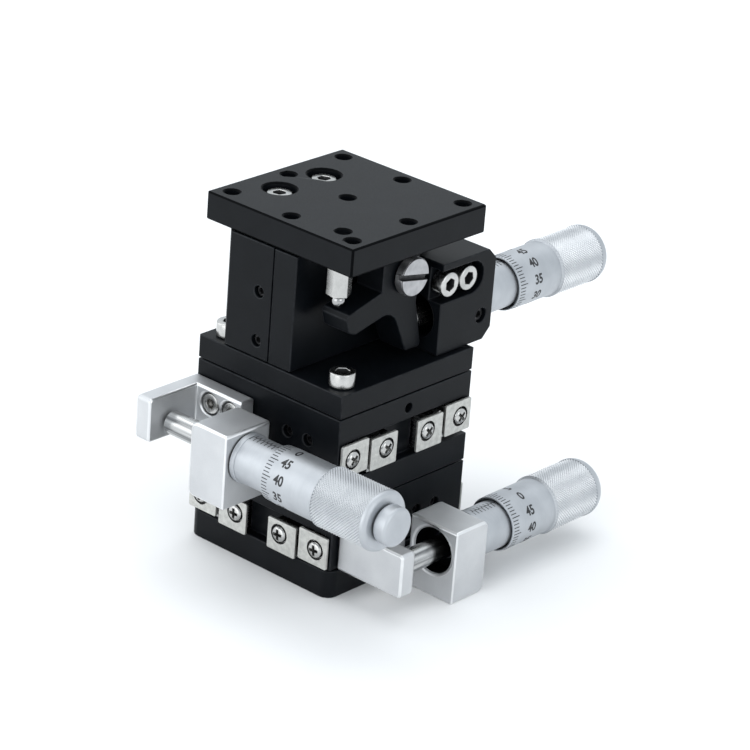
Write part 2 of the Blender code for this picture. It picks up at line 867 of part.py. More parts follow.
def drill_preload_holes(table, places, drop):
    """Tapped holes in the wall of a table, for the grub screws on the outer rail."""
    spots = [(place, 0, -drop) for place in places]
    drill(table, grub_hole_r, -half - overrun, -wall_inside + overrun, "Y", spots)


def make_base_plate(carrier):
    base = make_slide_base(y_slide, "base_plate", carrier, base_corner)
    corners = [(x * foot_hole_pitch, y * foot_hole_pitch, 0) for x in (-1, 1) for y in (-1, 1)]
    drill(base, foot_hole_r, -base_t, base_t, "Z", corners)
    return base


def mount_spots():
    """The screws at the two front corners; the lift covers the back ones."""
    return {"left": (-mount_screw_x, -mount_screw_y, 0), "right": (mount_screw_x, -mount_screw_y, 0)}


def make_mount_plate(x_table, carrier):
    """Plate under the lift, with its screws standing proud of it."""
    plate = add_box((plate_w, plate_w, mount_plate_t))
    spots = list(mount_spots().values())
    drill(plate, m3_r + gap, -mount_plate_t, mount_plate_t, "Z", spots)
    finish(plate, "lift_mount_plate", black, carrier, (0, 0, mount_floor + mount_plate_t / 2))
    for word, spot in mount_spots().items():
        add_socket_screw("mount_plate_screw_" + word, m3_sizes, mount_plate_t + table_t, carrier,
                         (spot[0], spot[1], mount_top + gap), face_turn("Z", 1))
    drill(x_table, m3_r + gap, -overrun, table_t + overrun, "Z", spots)


def make_upright(carrier):
    """The lift's fixed half: it carries the crank's pivot and the micrometer block."""
    upright = make_slide_base(z_slide, "lift_upright", carrier, 0)
    pivot = (pivot_z - lift_mid, pivot_y, 0)
    drill(upright, pivot_r + gap, -base_t / 2 - overrun, -base_t / 2 + pivot_bite + gap, "Z", [pivot])
    height = lift_floor + lift_block_h - lift_slot_drop - lift_mid
    spots = [(height, lift_block_y + place, 0) for place in lift_screw_places]
    drill(upright, m3_r + thread_gap, -base_t / 2 - overrun, -base_t / 2 + lift_screw_bite + gap, "Z",
          spots)
    return upright


def make_column(carrier):
    """The lift's moving half, relieved round the heads of the mounting screws."""
    column = make_slide_table(z_slide, "lift_column", carrier, column_chamfer)
    depth = z_slide.under - upright_face
    low = -lift_l / 2
    top = low + m3_head_h + 2 * gap
    corner = mount_spots()["left"]
    relief = [(0, corner[1], -corner[0] - depth)]
    drill(column, m3_head_r + 2 * gap, low - overrun, top, "X", relief)
    screws = [(0, place, -column_screw_x - depth) for place in column_screw_places]
    bite = column_screw_l - (top_plate_t - column_screw_sink) - 2 * gap
    drill(column, m3_r + gap, lift_l / 2 - bite, lift_l / 2 + overrun, "X", screws)
    drill_preload_holes(column, lift_grub_places, lift_grub_drop)


def make_top_plate(carrier):
    """The face that carries the user's load, with its grid of tapped holes."""
    plate = add_box((plate_w, plate_w, top_plate_t))
    steps = (-1, 0, 1)
    grid = [(x * top_hole_pitch, y * top_hole_pitch, 0) for x in steps for y in steps]
    drill(plate, thread_hole_r, -top_plate_t, top_plate_t, "Z", [*grid, (pin_x, pin_y, 0)])
    spots = [(column_screw_x, place, 0) for place in column_screw_places]
    seat = top_plate_t / 2 - column_screw_sink
    drill(plate, m3_r + gap, -top_plate_t, top_plate_t, "Z", spots)
    drill(plate, m3_head_r + counterbore_gap, seat, top_plate_t, "Z", spots)
    middle = (0, 0, top_floor + top_plate_t / 2)
    finish(plate, "top_plate", black, carrier, middle)
    for word, place in zip(("front", "back"), column_screw_places):
        head = (column_screw_x, place, middle[2] + seat + gap)
        add_socket_screw("top_plate_screw_" + word, m3_sizes, column_screw_l - gap, carrier, head,
                         face_turn("Z", 1))


def make_lift_pin(carrier):
    """Hexagonal pin under the top plate; the ball pressed in its end rides on the crank."""
    shape = bmesh.new()
    radius = pin_flats / math.sqrt(3)
    bmesh.ops.create_cone(shape, cap_ends=True, segments=6, radius1=radius, radius2=radius,
                          depth=pin_l, matrix=Matrix.Translation((0, 0, -pin_l / 2)))
    bmesh.ops.rotate(shape, cent=(0, 0, 0), matrix=Matrix.Rotation(pin_turn, 3, "Z"), verts=shape.verts)
    pin = from_bmesh(shape)
    thread = bmesh.new()
    cylinder_shape(thread, thread_hole_r - gap, -overrun, pin_thread_l, "Z", (0, 0, 0), hole_sides)
    join(pin, thread)
    ball = bmesh.new()
    height = ball_r - ball_show - pin_l
    bmesh.ops.create_uvsphere(ball, u_segments=16, v_segments=10, radius=ball_r,
                              matrix=Matrix.Translation((0, 0, height)))
    join(pin, ball)
    finish(pin, "lift_pin", steel, carrier, (pin_x, pin_y, top_floor - gap))


def crank_outline():
    """The crank from its pivot: hub, level arm for the ball, hanging leg for the spindle."""
    toe = crank_hub_r + crank_leg_kick
    heel = (toe - crank_leg_w, -crank_leg)
    nose = [(across - crank_arm, up - crank_arm_fall) for across, up in crank_nose]
    return [
        (crank_hub_r, crank_hub_top),
        (crank_hub_r, -crank_leg_bend),
        (toe, -crank_leg + crank_toe),
        (toe - crank_toe_cut, -crank_leg),
        heel,
        *fillet(heel, crank_elbow, nose[0], crank_elbow_r),
        *nose,
        (-crank_hub_l, -crank_arm_root),
        (-crank_hub_l, crank_hub_top - crank_hub_corner),
        (-crank_hub_l + crank_hub_corner, crank_hub_top),
    ]


def make_crank(carrier):
    outline = stand_outline(add_outline(crank_outline(), crank_t), "X")
    crank = from_bmesh(outline)
    boss = bmesh.new()
    back = -crank_t / 2
    reach = crank_back - upright_face - gap
    cylinder_shape(boss, crank_boss_r, back - reach, back + overrun, "X", (0, 0, 0), hole_sides)
    join(crank, boss)
    drill(crank, pivot_r + gap, -crank_t - reach, crank_t, "X", [(0, 0, 0)])
    middle = (crank_back + crank_t / 2, pivot_y, pivot_z)
    finish(crank, "bell_crank", black, carrier, middle)


def make_pivot_screw(carrier):
    """Slotted shoulder screw that the crank turns on."""
    front = crank_back + crank_t + gap
    shaft = front - upright_face + pivot_bite
    shape = bmesh.new()
    screw_shape(shape, pivot_head_r, pivot_head_t, pivot_r, shaft, face_turn("X", 1).to_4x4())
    screw = from_bmesh(shape)
    slot = box_shape((slot_depth + overrun, 2 * pivot_head_r + overrun, slot_w),
                     (pivot_head_t - slot_depth + (slot_depth + overrun) / 2, 0, 0))
    bmesh.ops.rotate(slot, cent=(0, 0, 0), matrix=Matrix.Rotation(slot_tilt, 3, "X"), verts=slot.verts)
    cut(screw, slot)
    finish(screw, "crank_pivot_screw", steel, carrier, (front, pivot_y, pivot_z))


def make_lift_block(carrier):
    """Black block that holds the lift's micrometer beside the upright."""
    inner = upright_face + gap
    centre = (inner + lift_block_w / 2, lift_block_y + lift_block_l / 2, lift_floor + lift_block_h / 2)
    shape = box_shape((lift_block_w, lift_block_l, lift_block_h))

    def outer_edges(first, last):
        return runs_along(0)(first, last) and first.y > 0
    round_edges(shape, outer_edges, lift_block_chamfer, 1)
    block = from_bmesh(shape)
    low_y = -lift_block_l / 2
    top_z = lift_block_h / 2
    slot_z = top_z - lift_slot_drop
    radius = lift_slot_h / 2
    tip = (low_y + lift_slot_l - radius, slot_z)
    outline = [(low_y - overrun, slot_z + radius), (low_y - overrun, slot_z - radius),
               *arc(tip, radius, -90, 90, 2 * arc_steps)]
    slot = stand_outline(add_outline(outline, 2 * lift_slot_depth), "X")
    bmesh.ops.translate(slot, vec=(lift_block_w / 2, 0, 0), verts=slot.verts)
    cut(block, slot)
    bore = (lift_axis_x - centre[0], 0, lift_axis_z - centre[2])
    drill(block, block_bore_r, -lift_block_l, lift_block_l, "Y", [bore], turned_sides)
    spots = [(0, low_y + place, slot_z) for place in lift_screw_places]
    drill(block, m3_r + gap, -lift_block_w, lift_block_w, "X", spots)
    clamp = (0, low_y + clamp_screw_y, bore[2] - clamp_screw_drop)
    drill(block, m3_r + gap / 2, bore[0], lift_block_w, "X", [clamp])
    finish(block, "lift_micrometer_block", black, carrier, centre)
    seat = centre[0] + lift_block_w / 2 - lift_slot_depth + gap
    sizes = (m3_head_r, lift_slot_depth - 2 * gap, m3_r, m3_socket)
    for word, place in zip(("front", "back"), lift_screw_places):
        head = (seat, lift_block_y + place, centre[2] + slot_z)
        add_socket_screw("lift_block_screw_" + word, sizes, seat - upright_face + lift_screw_bite,
                         carrier, head, face_turn("X", 1))


def level_edge(slide, block_start, shown):
    across, height = micrometer_line(slide)
    return slide.frame() @ Vector((block_start + block_l + shown, across, height))


def build():
    """Builds the stage from the bottom up, body by body."""
    frame = make_axis("fixed_frame", (0, 0, 0))
    y_axis = make_axis("y_travel", (0, 0, 0), frame)
    x_axis = make_axis("x_travel", (0, 0, x_floor), y_axis)
    z_axis = make_axis("z_travel", (column_face, 0, lift_floor), x_axis)
    crank_axis = make_axis("crank_pivot", (crank_back, pivot_y, pivot_z), x_axis)
    y_cage_axis = make_axis("y_cage_travel", (0, 0, base_t), frame)
    x_cage_axis = make_axis("x_cage_travel", (0, 0, x_floor + base_t), y_axis)
    z_cage_axis = make_axis("z_cage_travel", (0, 0, lift_mid), x_axis)

    y_edge = level_edge(y_slide, y_block_start, y_shown)
    x_edge = level_edge(x_slide, x_block_start, x_shown)
    z_edge = Vector((lift_axis_x, lift_block_y + lift_block_l + z_shown, lift_axis_z))
    y_spindle_axis = make_axis("y_spindle_travel", y_edge, frame)
    y_thimble_axis = make_axis("y_thimble_axis", y_edge, y_spindle_axis)
    x_spindle_axis = make_axis("x_spindle_travel", x_edge, y_axis)
    x_thimble_axis = make_axis("x_thimble_axis", x_edge, x_spindle_axis)
    z_spindle_axis = make_axis("lift_spindle_travel", z_edge, x_axis)
    z_thimble_axis = make_axis("lift_thimble_axis", z_edge, z_spindle_axis)

    base = make_base_plate(frame)
    y_table = make_slide_table(y_slide, "y_table", y_axis, 0)
    make_ways(y_slide, frame, y_axis)
    make_cage(y_slide, 1, level_rollers, y_cage_axis)
    make_cage(y_slide, -1, level_rollers, y_cage_axis)
    make_bracket(y_slide, y_bracket_start, y_table, y_axis)
    make_block(y_slide, y_block_start, 1, base, frame)
    drill_preload_holes(y_table, level_grub_places, level_grub_drop)
    y_reach = y_block_start + block_l + y_shown - y_bracket_start - bracket_t - gap
    make_micrometer("y", y_edge, y_slide.turn @ face_turn("X", 1), y_reach, y_shown, frame,
                    y_spindle_axis, y_thimble_axis)

    x_base = make_slide_base(x_slide, "x_base", y_axis, 0)
    x_table = make_slide_table(x_slide, "x_table", x_axis, 0)
    make_ways(x_slide, y_axis, x_axis)
    make_cage(x_slide, 1, level_rollers, x_cage_axis)
    make_cage(x_slide, -1, level_rollers, x_cage_axis)
    make_bracket(x_slide, x_bracket_start, x_table, x_axis)
    make_block(x_slide, x_block_start, -1, x_base, y_axis)
    drill_preload_holes(x_table, level_grub_places, level_grub_drop)
    end_spot = (0, end_hole_offset, table_t - end_hole_drop)
    drill(x_table, end_hole_r, half - end_hole_depth, half + overrun, "X", [end_spot])
    x_reach = x_block_start + block_l + x_shown - x_bracket_start - bracket_t - gap
    make_micrometer("x", x_edge, face_turn("X", 1), x_reach, x_shown, y_axis, x_spindle_axis,
                    x_thimble_axis, low_cap=False)

    make_mount_plate(x_table, x_axis)
    make_upright(x_axis)
    make_column(z_axis)
    make_ways(z_slide, x_axis, z_axis)
    make_cage(z_slide, 1, lift_rollers, z_cage_axis)
    make_cage(z_slide, -1, lift_rollers, z_cage_axis)
    make_top_plate(z_axis)
    make_lift_pin(z_axis)
    make_crank(crank_axis)
    make_pivot_screw(x_axis)
    make_lift_block(x_axis)
    make_micrometer("lift", z_edge, face_turn("Y", 1), z_edge[1] - lift_tip_y, z_shown, x_axis,
                    z_spindle_axis, z_thimble_axis)


build()
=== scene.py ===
# %% [markdown]
# # Dressing a small three-axis translation stage
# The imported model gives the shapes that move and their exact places. This script
# loads it as a fixed frame and builds the visible pieces round it: broken edges,
# real screws, knurled thimbles, engraved marks and a finish for every metal.
# Each cell adds one idea and prints what it made, so the scene can be read from
# top to bottom like a lesson.

import json
import math

import bmesh
import bpy
from mathutils import Matrix, Vector

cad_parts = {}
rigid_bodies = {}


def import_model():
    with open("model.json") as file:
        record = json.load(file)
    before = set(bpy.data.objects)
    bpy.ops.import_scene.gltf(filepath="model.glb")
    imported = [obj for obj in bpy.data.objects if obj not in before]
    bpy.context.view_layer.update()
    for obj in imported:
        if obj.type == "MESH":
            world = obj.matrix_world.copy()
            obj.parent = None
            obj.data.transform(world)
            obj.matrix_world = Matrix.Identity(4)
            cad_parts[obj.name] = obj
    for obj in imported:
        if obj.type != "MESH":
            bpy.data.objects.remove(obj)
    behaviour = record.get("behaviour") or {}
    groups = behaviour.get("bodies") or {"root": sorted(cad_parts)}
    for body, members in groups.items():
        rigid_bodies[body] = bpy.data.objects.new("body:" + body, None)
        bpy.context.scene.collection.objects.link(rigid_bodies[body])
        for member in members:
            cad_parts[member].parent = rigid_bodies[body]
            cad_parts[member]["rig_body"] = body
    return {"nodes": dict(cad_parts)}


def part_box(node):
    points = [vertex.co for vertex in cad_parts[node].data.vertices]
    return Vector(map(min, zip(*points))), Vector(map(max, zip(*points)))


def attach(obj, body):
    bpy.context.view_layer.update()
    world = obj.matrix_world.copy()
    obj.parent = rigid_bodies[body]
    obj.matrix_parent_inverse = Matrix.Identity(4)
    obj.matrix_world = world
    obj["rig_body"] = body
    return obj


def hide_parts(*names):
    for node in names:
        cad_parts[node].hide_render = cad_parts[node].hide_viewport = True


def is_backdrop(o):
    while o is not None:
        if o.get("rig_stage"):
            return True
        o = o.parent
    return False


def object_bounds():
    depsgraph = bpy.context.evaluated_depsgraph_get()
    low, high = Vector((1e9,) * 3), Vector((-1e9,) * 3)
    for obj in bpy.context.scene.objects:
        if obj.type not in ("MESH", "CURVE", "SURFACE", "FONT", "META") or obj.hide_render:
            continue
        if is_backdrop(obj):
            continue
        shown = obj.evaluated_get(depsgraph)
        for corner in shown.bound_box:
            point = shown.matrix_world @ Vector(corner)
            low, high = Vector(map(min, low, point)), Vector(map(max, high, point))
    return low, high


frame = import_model()
cad_box = [list(corner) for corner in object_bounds()]

# %% [markdown]
# ## Units and fine sizes
# Lengths are metres, so a value in millimetres is written times MM. Only sizes that
# the frame doesn't give stand here: how far an edge is broken, how deep a mark is
# cut, how fine a knurl is. Places are read from the frame's own nodes where they can
# be, and the other sizes of a piece stand in the cell that makes it.

# %% Sizes of the fine detail
MM = 0.001
ROUND_SIDES = 96
SCREW_SIDES = 48

edge_break = 0.22 * MM
top_edge_break = 0.4 * MM
silver_break = 0.45 * MM
fine_edge = 0.1 * MM
ink_proud = 0.015 * MM
ink_depth = 0.05 * MM

knurl_columns = 56
knurl_depth = 0.28 * MM
knurl_margin = 0.05 * MM

division_count = 50
divisions_per_number = 5
tick_w = 0.19 * MM
tick_start = 0.4 * MM
short_tick = 1.9 * MM
long_tick = 2.55 * MM
number_height = 2.0 * MM
number_strip = 0.25 * MM
print(division_count, "divisions and", knurl_columns, "diamonds round each thimble")

# %% [markdown]
# ## Materials from noise
# Every finish here is a Principled shader whose colour, roughness and bump follow
# noise read from object coordinates. Object coordinates are metres on the part, so a
# grain of a tenth of a millimetre is a real tenth of a millimetre from any view.
# Stretching the noise along one axis turns grain into brush or turning marks.

# %% A material builder
def add_noise(tree, size, detail, stretch=(1, 1, 1)):
    """Noise whose grain has a real size in metres, stretched along the axes."""
    coordinates = tree.nodes.new("ShaderNodeTexCoord")
    mapping = tree.nodes.new("ShaderNodeMapping")
    mapping.inputs["Scale"].default_value = [1 / (size * share) for share in stretch]
    noise = tree.nodes.new("ShaderNodeTexNoise")
    noise.inputs["Scale"].default_value = 1
    noise.inputs["Detail"].default_value = detail
    tree.links.new(coordinates.outputs["Object"], mapping.inputs["Vector"])
    tree.links.new(mapping.outputs["Vector"], noise.inputs["Vector"])
    return noise.outputs["Fac"]


def map_range(tree, source, low, high):
    """Spreads the middle of a noise over a range of values."""
    spread = tree.nodes.new("ShaderNodeMapRange")
    spread.inputs["From Min"].default_value = 0.3
    spread.inputs["From Max"].default_value = 0.7
    spread.inputs["To Min"].default_value = low
    spread.inputs["To Max"].default_value = high
    tree.links.new(source, spread.inputs["Value"])
    return spread.outputs["Result"]


def mix_colours(tree, factor, low, high):
    """Blends two colours by a factor."""
    mix = tree.nodes.new("ShaderNodeMix")
    mix.data_type = "RGBA"
    mix.inputs["A"].default_value = (*low, 1)
    mix.inputs["B"].default_value = (*high, 1)
    tree.links.new(factor, mix.inputs["Factor"])
    return mix.outputs["Result"]


def add_bump(tree, source, depth, normal=None):
    """Tilts the shading by a height, on top of an earlier bump."""
    bump = tree.nodes.new("ShaderNodeBump")
    bump.inputs["Distance"].default_value = depth
    tree.links.new(source, bump.inputs["Height"])
    if normal:
        tree.links.new(normal, bump.inputs["Normal"])
    return bump.outputs["Normal"]


def make_finish(name, dark, light, metallic, gloss, grain, depth, patch, stretch=(1, 1, 1),
                specular=0.5, patch_stretch=(1, 1, 1)):
    """One finish: colour drifts in patches, while gloss and bump follow a fine grain."""
    material = bpy.data.materials.new(name)
    material.use_nodes = True
    tree = material.node_tree
    shader = tree.nodes["Principled BSDF"]
    shader.inputs["Metallic"].default_value = metallic
    shader.inputs["Specular IOR Level"].default_value = specular
    fine = add_noise(tree, grain, 3, stretch)
    broad = add_noise(tree, patch, 4, patch_stretch)
    tint = mix_colours(tree, map_range(tree, broad, 0, 1), dark, light)
    tree.links.new(tint, shader.inputs["Base Color"])
    tree.links.new(map_range(tree, fine, *gloss), shader.inputs["Roughness"])
    waves = add_bump(tree, broad, depth)
    tree.links.new(add_bump(tree, fine, depth, waves), shader.inputs["Normal"])
    return material


# %% [markdown]
# ## The finishes of the stage
# The slides are black anodised, their brackets and blocks are blasted aluminium, the
# heads are satin chrome and the screws are bright steel. A broken edge gets a finish of
# its own, a little lighter than the face beside it: a painted highlight along the edge.
# Each line below gives a dark and a light colour, how metallic it is, its range of
# roughness, and then the sizes of the grain, the bump and the patches.

# %% Black and blasted aluminium
black = make_finish("black_anodised_finish", (0.0024, 0.0032, 0.0045), (0.0038, 0.0049, 0.0065),
                    0.0, (0.28, 0.44), 0.16 * MM, 0.006 * MM, 6 * MM, specular=0.12)
# A darker, duller black: painted shade in the bores, on the sleeve shanks inside them and along the
# top plate's bevel.
painted_shade_black = make_finish("painted_shade_black_finish", (0.0012, 0.0015, 0.002), (0.002, 0.0024, 0.003),
                            0.0, (0.4, 0.55), 0.16 * MM, 0.004 * MM, 4 * MM, specular=0.03)
# A lighter black for the bevels of the black pieces: a painted highlight along each edge.
black_edge_highlight = make_finish("painted_edge_highlight_black_finish", (0.004, 0.005, 0.0065), (0.016, 0.018, 0.021),
                         0.0, (0.3, 0.45), 0.2 * MM, 0.006 * MM, 1.5 * MM, specular=0.16)
silver = make_finish("blasted_aluminium_finish", (0.57, 0.58, 0.595), (0.65, 0.66, 0.67), 1.0,
                     (0.44, 0.6), 0.14 * MM, 0.012 * MM, 8 * MM)
# A lighter aluminium for the bevels of the blocks: a painted highlight along each edge.
silver_edge_highlight = make_finish("painted_highlight_aluminium_edge_finish", (0.74, 0.75, 0.76), (0.82, 0.825, 0.83),
                          1.0, (0.3, 0.45), 0.14 * MM, 0.006 * MM, 3 * MM)
print(len(bpy.data.materials), "materials, the frame's own among them")

# %% Steels and ink
WAY_STRETCH = (30, 30, 1)
steel = make_finish("bright_steel_finish", (0.44, 0.44, 0.43), (0.60, 0.595, 0.58), 1.0,
                    (0.16, 0.32), 0.12 * MM, 0.002 * MM, 3 * MM)
cap_steel = make_finish("sandblasted_steel_finish", (0.50, 0.50, 0.48), (0.66, 0.66, 0.63), 1.0,
                        (0.4, 0.7), 0.22 * MM, 0.02 * MM, 1.1 * MM)
pivot_steel = make_finish("worn_pivot_steel_finish", (0.36, 0.36, 0.37), (0.50, 0.50, 0.51), 1.0,
                          (0.3, 0.5), 0.2 * MM, 0.006 * MM, 1.6 * MM)
# Black oxide is the real finish of the grub screws. In screw recesses, cap holes and the pivot's
# slot the same finish is painted shade.
black_oxide_and_shade = make_finish("black_oxide_and_painted_shade_finish", (0.018, 0.018, 0.020), (0.05, 0.05, 0.052), 0.6,
                         (0.3, 0.5), 0.15 * MM, 0.004 * MM, 1.5 * MM)
ground = make_finish("ground_steel_finish", (0.40, 0.40, 0.40), (0.52, 0.52, 0.52), 1.0,
                     (0.18, 0.35), 0.08 * MM, 0.002 * MM, 5 * MM, WAY_STRETCH)
ink = make_finish("black_ink_finish", (0.010, 0.010, 0.012), (0.02, 0.02, 0.022), 0.0,
                  (0.4, 0.6), 0.1 * MM, 0.002 * MM, 2 * MM)
print(len(bpy.data.materials), "materials so far")

# %% Finishes of the heads: turning marks run round the axis, painted reflections along it
TURNING_STRETCH = {"x": (1, 60, 60), "y": (60, 1, 60)}
REFLECTION_STRIPE_STRETCH = {"x": (60, 1, 1), "y": (1, 60, 1)}
satin = {axis: make_finish("satin_chrome_finish_" + axis, (0.46, 0.48, 0.505), (0.53, 0.55, 0.575),
                           1.0, (0.42, 0.56), 0.1 * MM, 0.003 * MM, 5 * MM, stretch)
         for axis, stretch in TURNING_STRETCH.items()}
# Colour runs from dark to light in long stripes along each spindle: painted reflections of a
# polished rod.
spindle_reflection_steel = {axis: make_finish("painted_reflection_spindle_finish_" + axis, (0.16, 0.165, 0.17),
                                   (0.80, 0.80, 0.79), 1.0, (0.14, 0.28), 0.1 * MM, 0.001 * MM,
                                   0.9 * MM, patch_stretch=stretch)
                 for axis, stretch in REFLECTION_STRIPE_STRETCH.items()}
# The ball is coloured darker than the bright steel: a painted dark reflection of a polished ball.
polished = make_finish("polished_ball_finish", (0.34, 0.34, 0.34), (0.42, 0.42, 0.42), 1.0,
                       (0.05, 0.1), 0.1 * MM, 0.0005 * MM, 2 * MM)
knurled = make_finish("knurled_chrome_finish", (0.56, 0.575, 0.595), (0.64, 0.655, 0.67), 1.0,
                      (0.28, 0.42), 0.1 * MM, 0.002 * MM, 4 * MM)
print(len(bpy.data.materials), "materials in all")

# %% [markdown]
# ## Helpers that finish a piece
# A finished piece is a plain mesh at the origin, with a name and its finishes, and it
# rides on the body of the node that it stands for. Sharp edges are kept sharp and the
# rest is smooth, so a round shows no facets while a flat stays flat.

# %% Finish, weld and soften
SMOOTH_ANGLE = math.radians(38)
EDGE_ANGLE = math.radians(35)
FLAT_ANGLE = math.radians(0.5)
WELD = 0.002 * MM
BEVEL_SEGMENTS = 2


def body_of(node_name):
    """The body that a node rides on."""
    return frame["nodes"][node_name]["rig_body"]


def along(axis, length=1):
    """A vector along one axis."""
    step = Vector((0, 0, 0))
    step[axis] = length
    return step


def from_line(point, place, axis):
    """The way to a point from the nearest spot of a line that runs along an axis."""
    offset = point - place
    offset[axis] = 0
    return offset


def finish_piece(piece, material, body, nodes=()):
    """Puts the last touches to a piece and lets it ride on its body."""
    if not piece.data.materials:
        piece.data.materials.append(material)
    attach(piece, body)
    if nodes:
        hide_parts(*nodes)
    return piece


def stand_for(piece, material, node_name):
    """Finishes a piece that takes the place of one node."""
    return finish_piece(piece, material, body_of(node_name), (node_name,))


def new_piece(name, mesh):
    """Puts a mesh in the scene as a piece at the origin."""
    mesh.name = name
    piece = bpy.data.objects.new(name, mesh)
    bpy.context.scene.collection.objects.link(piece)
    return piece


def from_bmesh(name, shape):
    """A piece from a shape, smooth but for its sharp edges."""
    mesh = bpy.data.meshes.new(name)
    bmesh.ops.recalc_face_normals(shape, faces=shape.faces)
    shape.to_mesh(mesh)
    shape.free()
    mesh.shade_smooth()
    mesh.set_sharp_from_angle(angle=SMOOTH_ANGLE)
    return new_piece(name, mesh)


def bake(piece):
    """Applies the modifiers by swapping in the evaluated mesh."""
    graph = bpy.context.evaluated_depsgraph_get()
    mesh = bpy.data.meshes.new_from_object(piece.evaluated_get(graph))
    piece.modifiers.clear()
    old = piece.data
    piece.data = mesh
    bpy.data.meshes.remove(old)
    return piece


def break_edges(piece, width):
    """Bevels only the real corners, as a deburring tool does, and keeps the flats flat."""
    bevel = piece.modifiers.new("broken edges", "BEVEL")
    bevel.limit_method = "ANGLE"
    bevel.angle_limit = EDGE_ANGLE
    bevel.width = width
    bevel.segments = BEVEL_SEGMENTS
    bevel.use_clamp_overlap = False
    # The bevel takes the last slot, the edge finish: a painted highlight on most black pieces and
    # the blocks, painted shade on the top plate.
    bevel.material = len(piece.data.materials) - 1
    flats = piece.modifiers.new("flat flats", "WEIGHTED_NORMAL")
    flats.mode = "FACE_AREA_WITH_ANGLE"
    flats.keep_sharp = True
    return bake(piece)


def box_of(mesh):
    """The low and the high corner of a mesh."""
    sides = list(zip(*[vert.co for vert in mesh.vertices]))
    return [min(side) for side in sides], [max(side) for side in sides]


def hold_inside(piece, low, high):
    """A wide bevel can overshoot at a small step, so the corners stay in the piece's own box."""
    for vert in piece.data.vertices:
        vert.co = [min(max(vert.co[axis], low[axis]), high[axis]) for axis in range(3)]


def machined(node_name, material, edge_material, width=edge_break, shift=None, new_name=None):
    """A machined piece: the node's own shape with its corners broken and the bevel in the edge
    finish.
    """
    shape = bmesh.new()
    shape.from_mesh(frame["nodes"][node_name].data)
    bmesh.ops.remove_doubles(shape, verts=shape.verts, dist=WELD)
    bmesh.ops.dissolve_limit(shape, angle_limit=FLAT_ANGLE, verts=shape.verts, edges=shape.edges)
    if shift:
        bmesh.ops.translate(shape, vec=shift, verts=shape.verts)
    piece = from_bmesh(new_name or node_name + "_dressed", shape)
    piece.data.materials.append(material)
    piece.data.materials.append(edge_material)
    low, high = box_of(piece.data)
    break_edges(piece, width)
    hold_inside(piece, low, high)
    nodes = () if new_name else (node_name,)
    return finish_piece(piece, material, body_of(node_name), nodes)


# %% [markdown]
# ## Plates, blocks and the crank
# Black plates come from bar stock, the silver blocks are bead blasted. Both have had
# their corners broken, and that thin bevel is what catches the light along an edge. A
# Bevel modifier on the frame's own shape makes it, so no size changes. Its clamp is
# off, because one short edge would otherwise narrow the bevel of the whole piece.

# %% Machine the plates and blocks
black_nodes = ["base_plate", "y_table", "x_base", "x_table", "lift_mount_plate", "lift_upright",
               "lift_column", "top_plate", "lift_micrometer_block", "bell_crank"]
silver_nodes = ["x_anvil_bracket", "y_anvil_bracket", "x_micrometer_block", "y_micrometer_block"]
for node_name in black_nodes:
    # The top plate's bevel gets the painted shade black, the other black bevels a painted
    # highlight.
    if node_name == "top_plate":
        machined(node_name, black, painted_shade_black, top_edge_break)
    else:
        machined(node_name, black, black_edge_highlight)
# The blocks' bevels get the lighter aluminium, a painted highlight.
dressed_silver = {node_name: machined(node_name, silver, silver_edge_highlight, silver_break)
                  for node_name in silver_nodes}
print(len(black_nodes) + len(silver_nodes), "machined pieces")

# %% [markdown]
# ## Painted shade in the bores, and ground ways
# Little light reaches the bore of a micrometer block, so it looks black. Its faces are
# those near the head's axis that look at it, and they get a slot of painted shade. The
# rails and the roller cages are ground steel. They show only as thin lines between the
# plates, so they keep the frame's plain mesh.

# %% Paint shade into the bores of the silver blocks
BORE_REACH = 5.0 * MM
INWARDS_SHARE = 0.5


def paint_bore_shade(piece, axis, centre):
    """Paints shade on the faces of a bore: they take a dark slot of their own."""
    piece.data.materials.append(painted_shade_black)
    blackened = 0
    for face in piece.data.polygons:
        offset = from_line(face.center, centre, axis)
        inwards = -face.normal.dot(offset)
        if offset.length < BORE_REACH and inwards > INWARDS_SHARE * offset.length:
            face.material_index = len(piece.data.materials) - 1
            blackened += 1
    return blackened


for name, axis in (("x", 0), ("y", 1)):
    low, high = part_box(name + "_thimble")
    block = dressed_silver[name + "_micrometer_block"]
    print(name, "bore has", paint_bore_shade(block, axis, (low + high) / 2), "faces")

# %% Grind the rails and cages
way_nodes = [name for name in frame["nodes"] if "rail" in name or "cage" in name]
for node_name in way_nodes:
    way = frame["nodes"][node_name].data
    way.materials.clear()
    way.materials.append(ground)
print(len(way_nodes), "rails and cages")

# %% [markdown]
# ## End caps on all four ends of the ways
# A small blasted plate closes each end of a rail and keeps the rollers in. The frame
# has the caps at the front ends. The far ends look the same, so their caps are the
# front ones moved along their slide. The hole round a cap's screw is eased open a
# little and gets painted shade inside, which draws the dark ring that sets off the screw.

# %% Where the hole of a cap is
inner_hole_drop = 3.0 * MM
outer_hole_drop = 3.5 * MM
inner_hole_side = 6.3 * MM
outer_hole_side = 16.4 * MM


def slide_axis(node_name):
    """The axis that a piece of the X or the Y stage slides along."""
    return 0 if node_name.startswith("x") else 1


def cap_hole_centre(node_name):
    """So far under the top of the cap and so far from the middle of its slide."""
    low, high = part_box(node_name)
    inner = "inner" in node_name
    across = 1 - slide_axis(node_name)
    side = inner_hole_side if inner else outer_hole_side
    centre = Vector((0, 0, high[2] - (inner_hole_drop if inner else outer_hole_drop)))
    centre[across] = math.copysign(side, low[across] + high[across])
    return centre


cap_nodes = [name for name in frame["nodes"] if "end_cap" in name]
print(len(cap_nodes), "caps in the frame")

# %% Dress the end caps and copy them to the far ends
cap_hole_r = 1.95 * MM
cap_hole_wide_r = 2.2 * MM
FACE_ON = 0.9


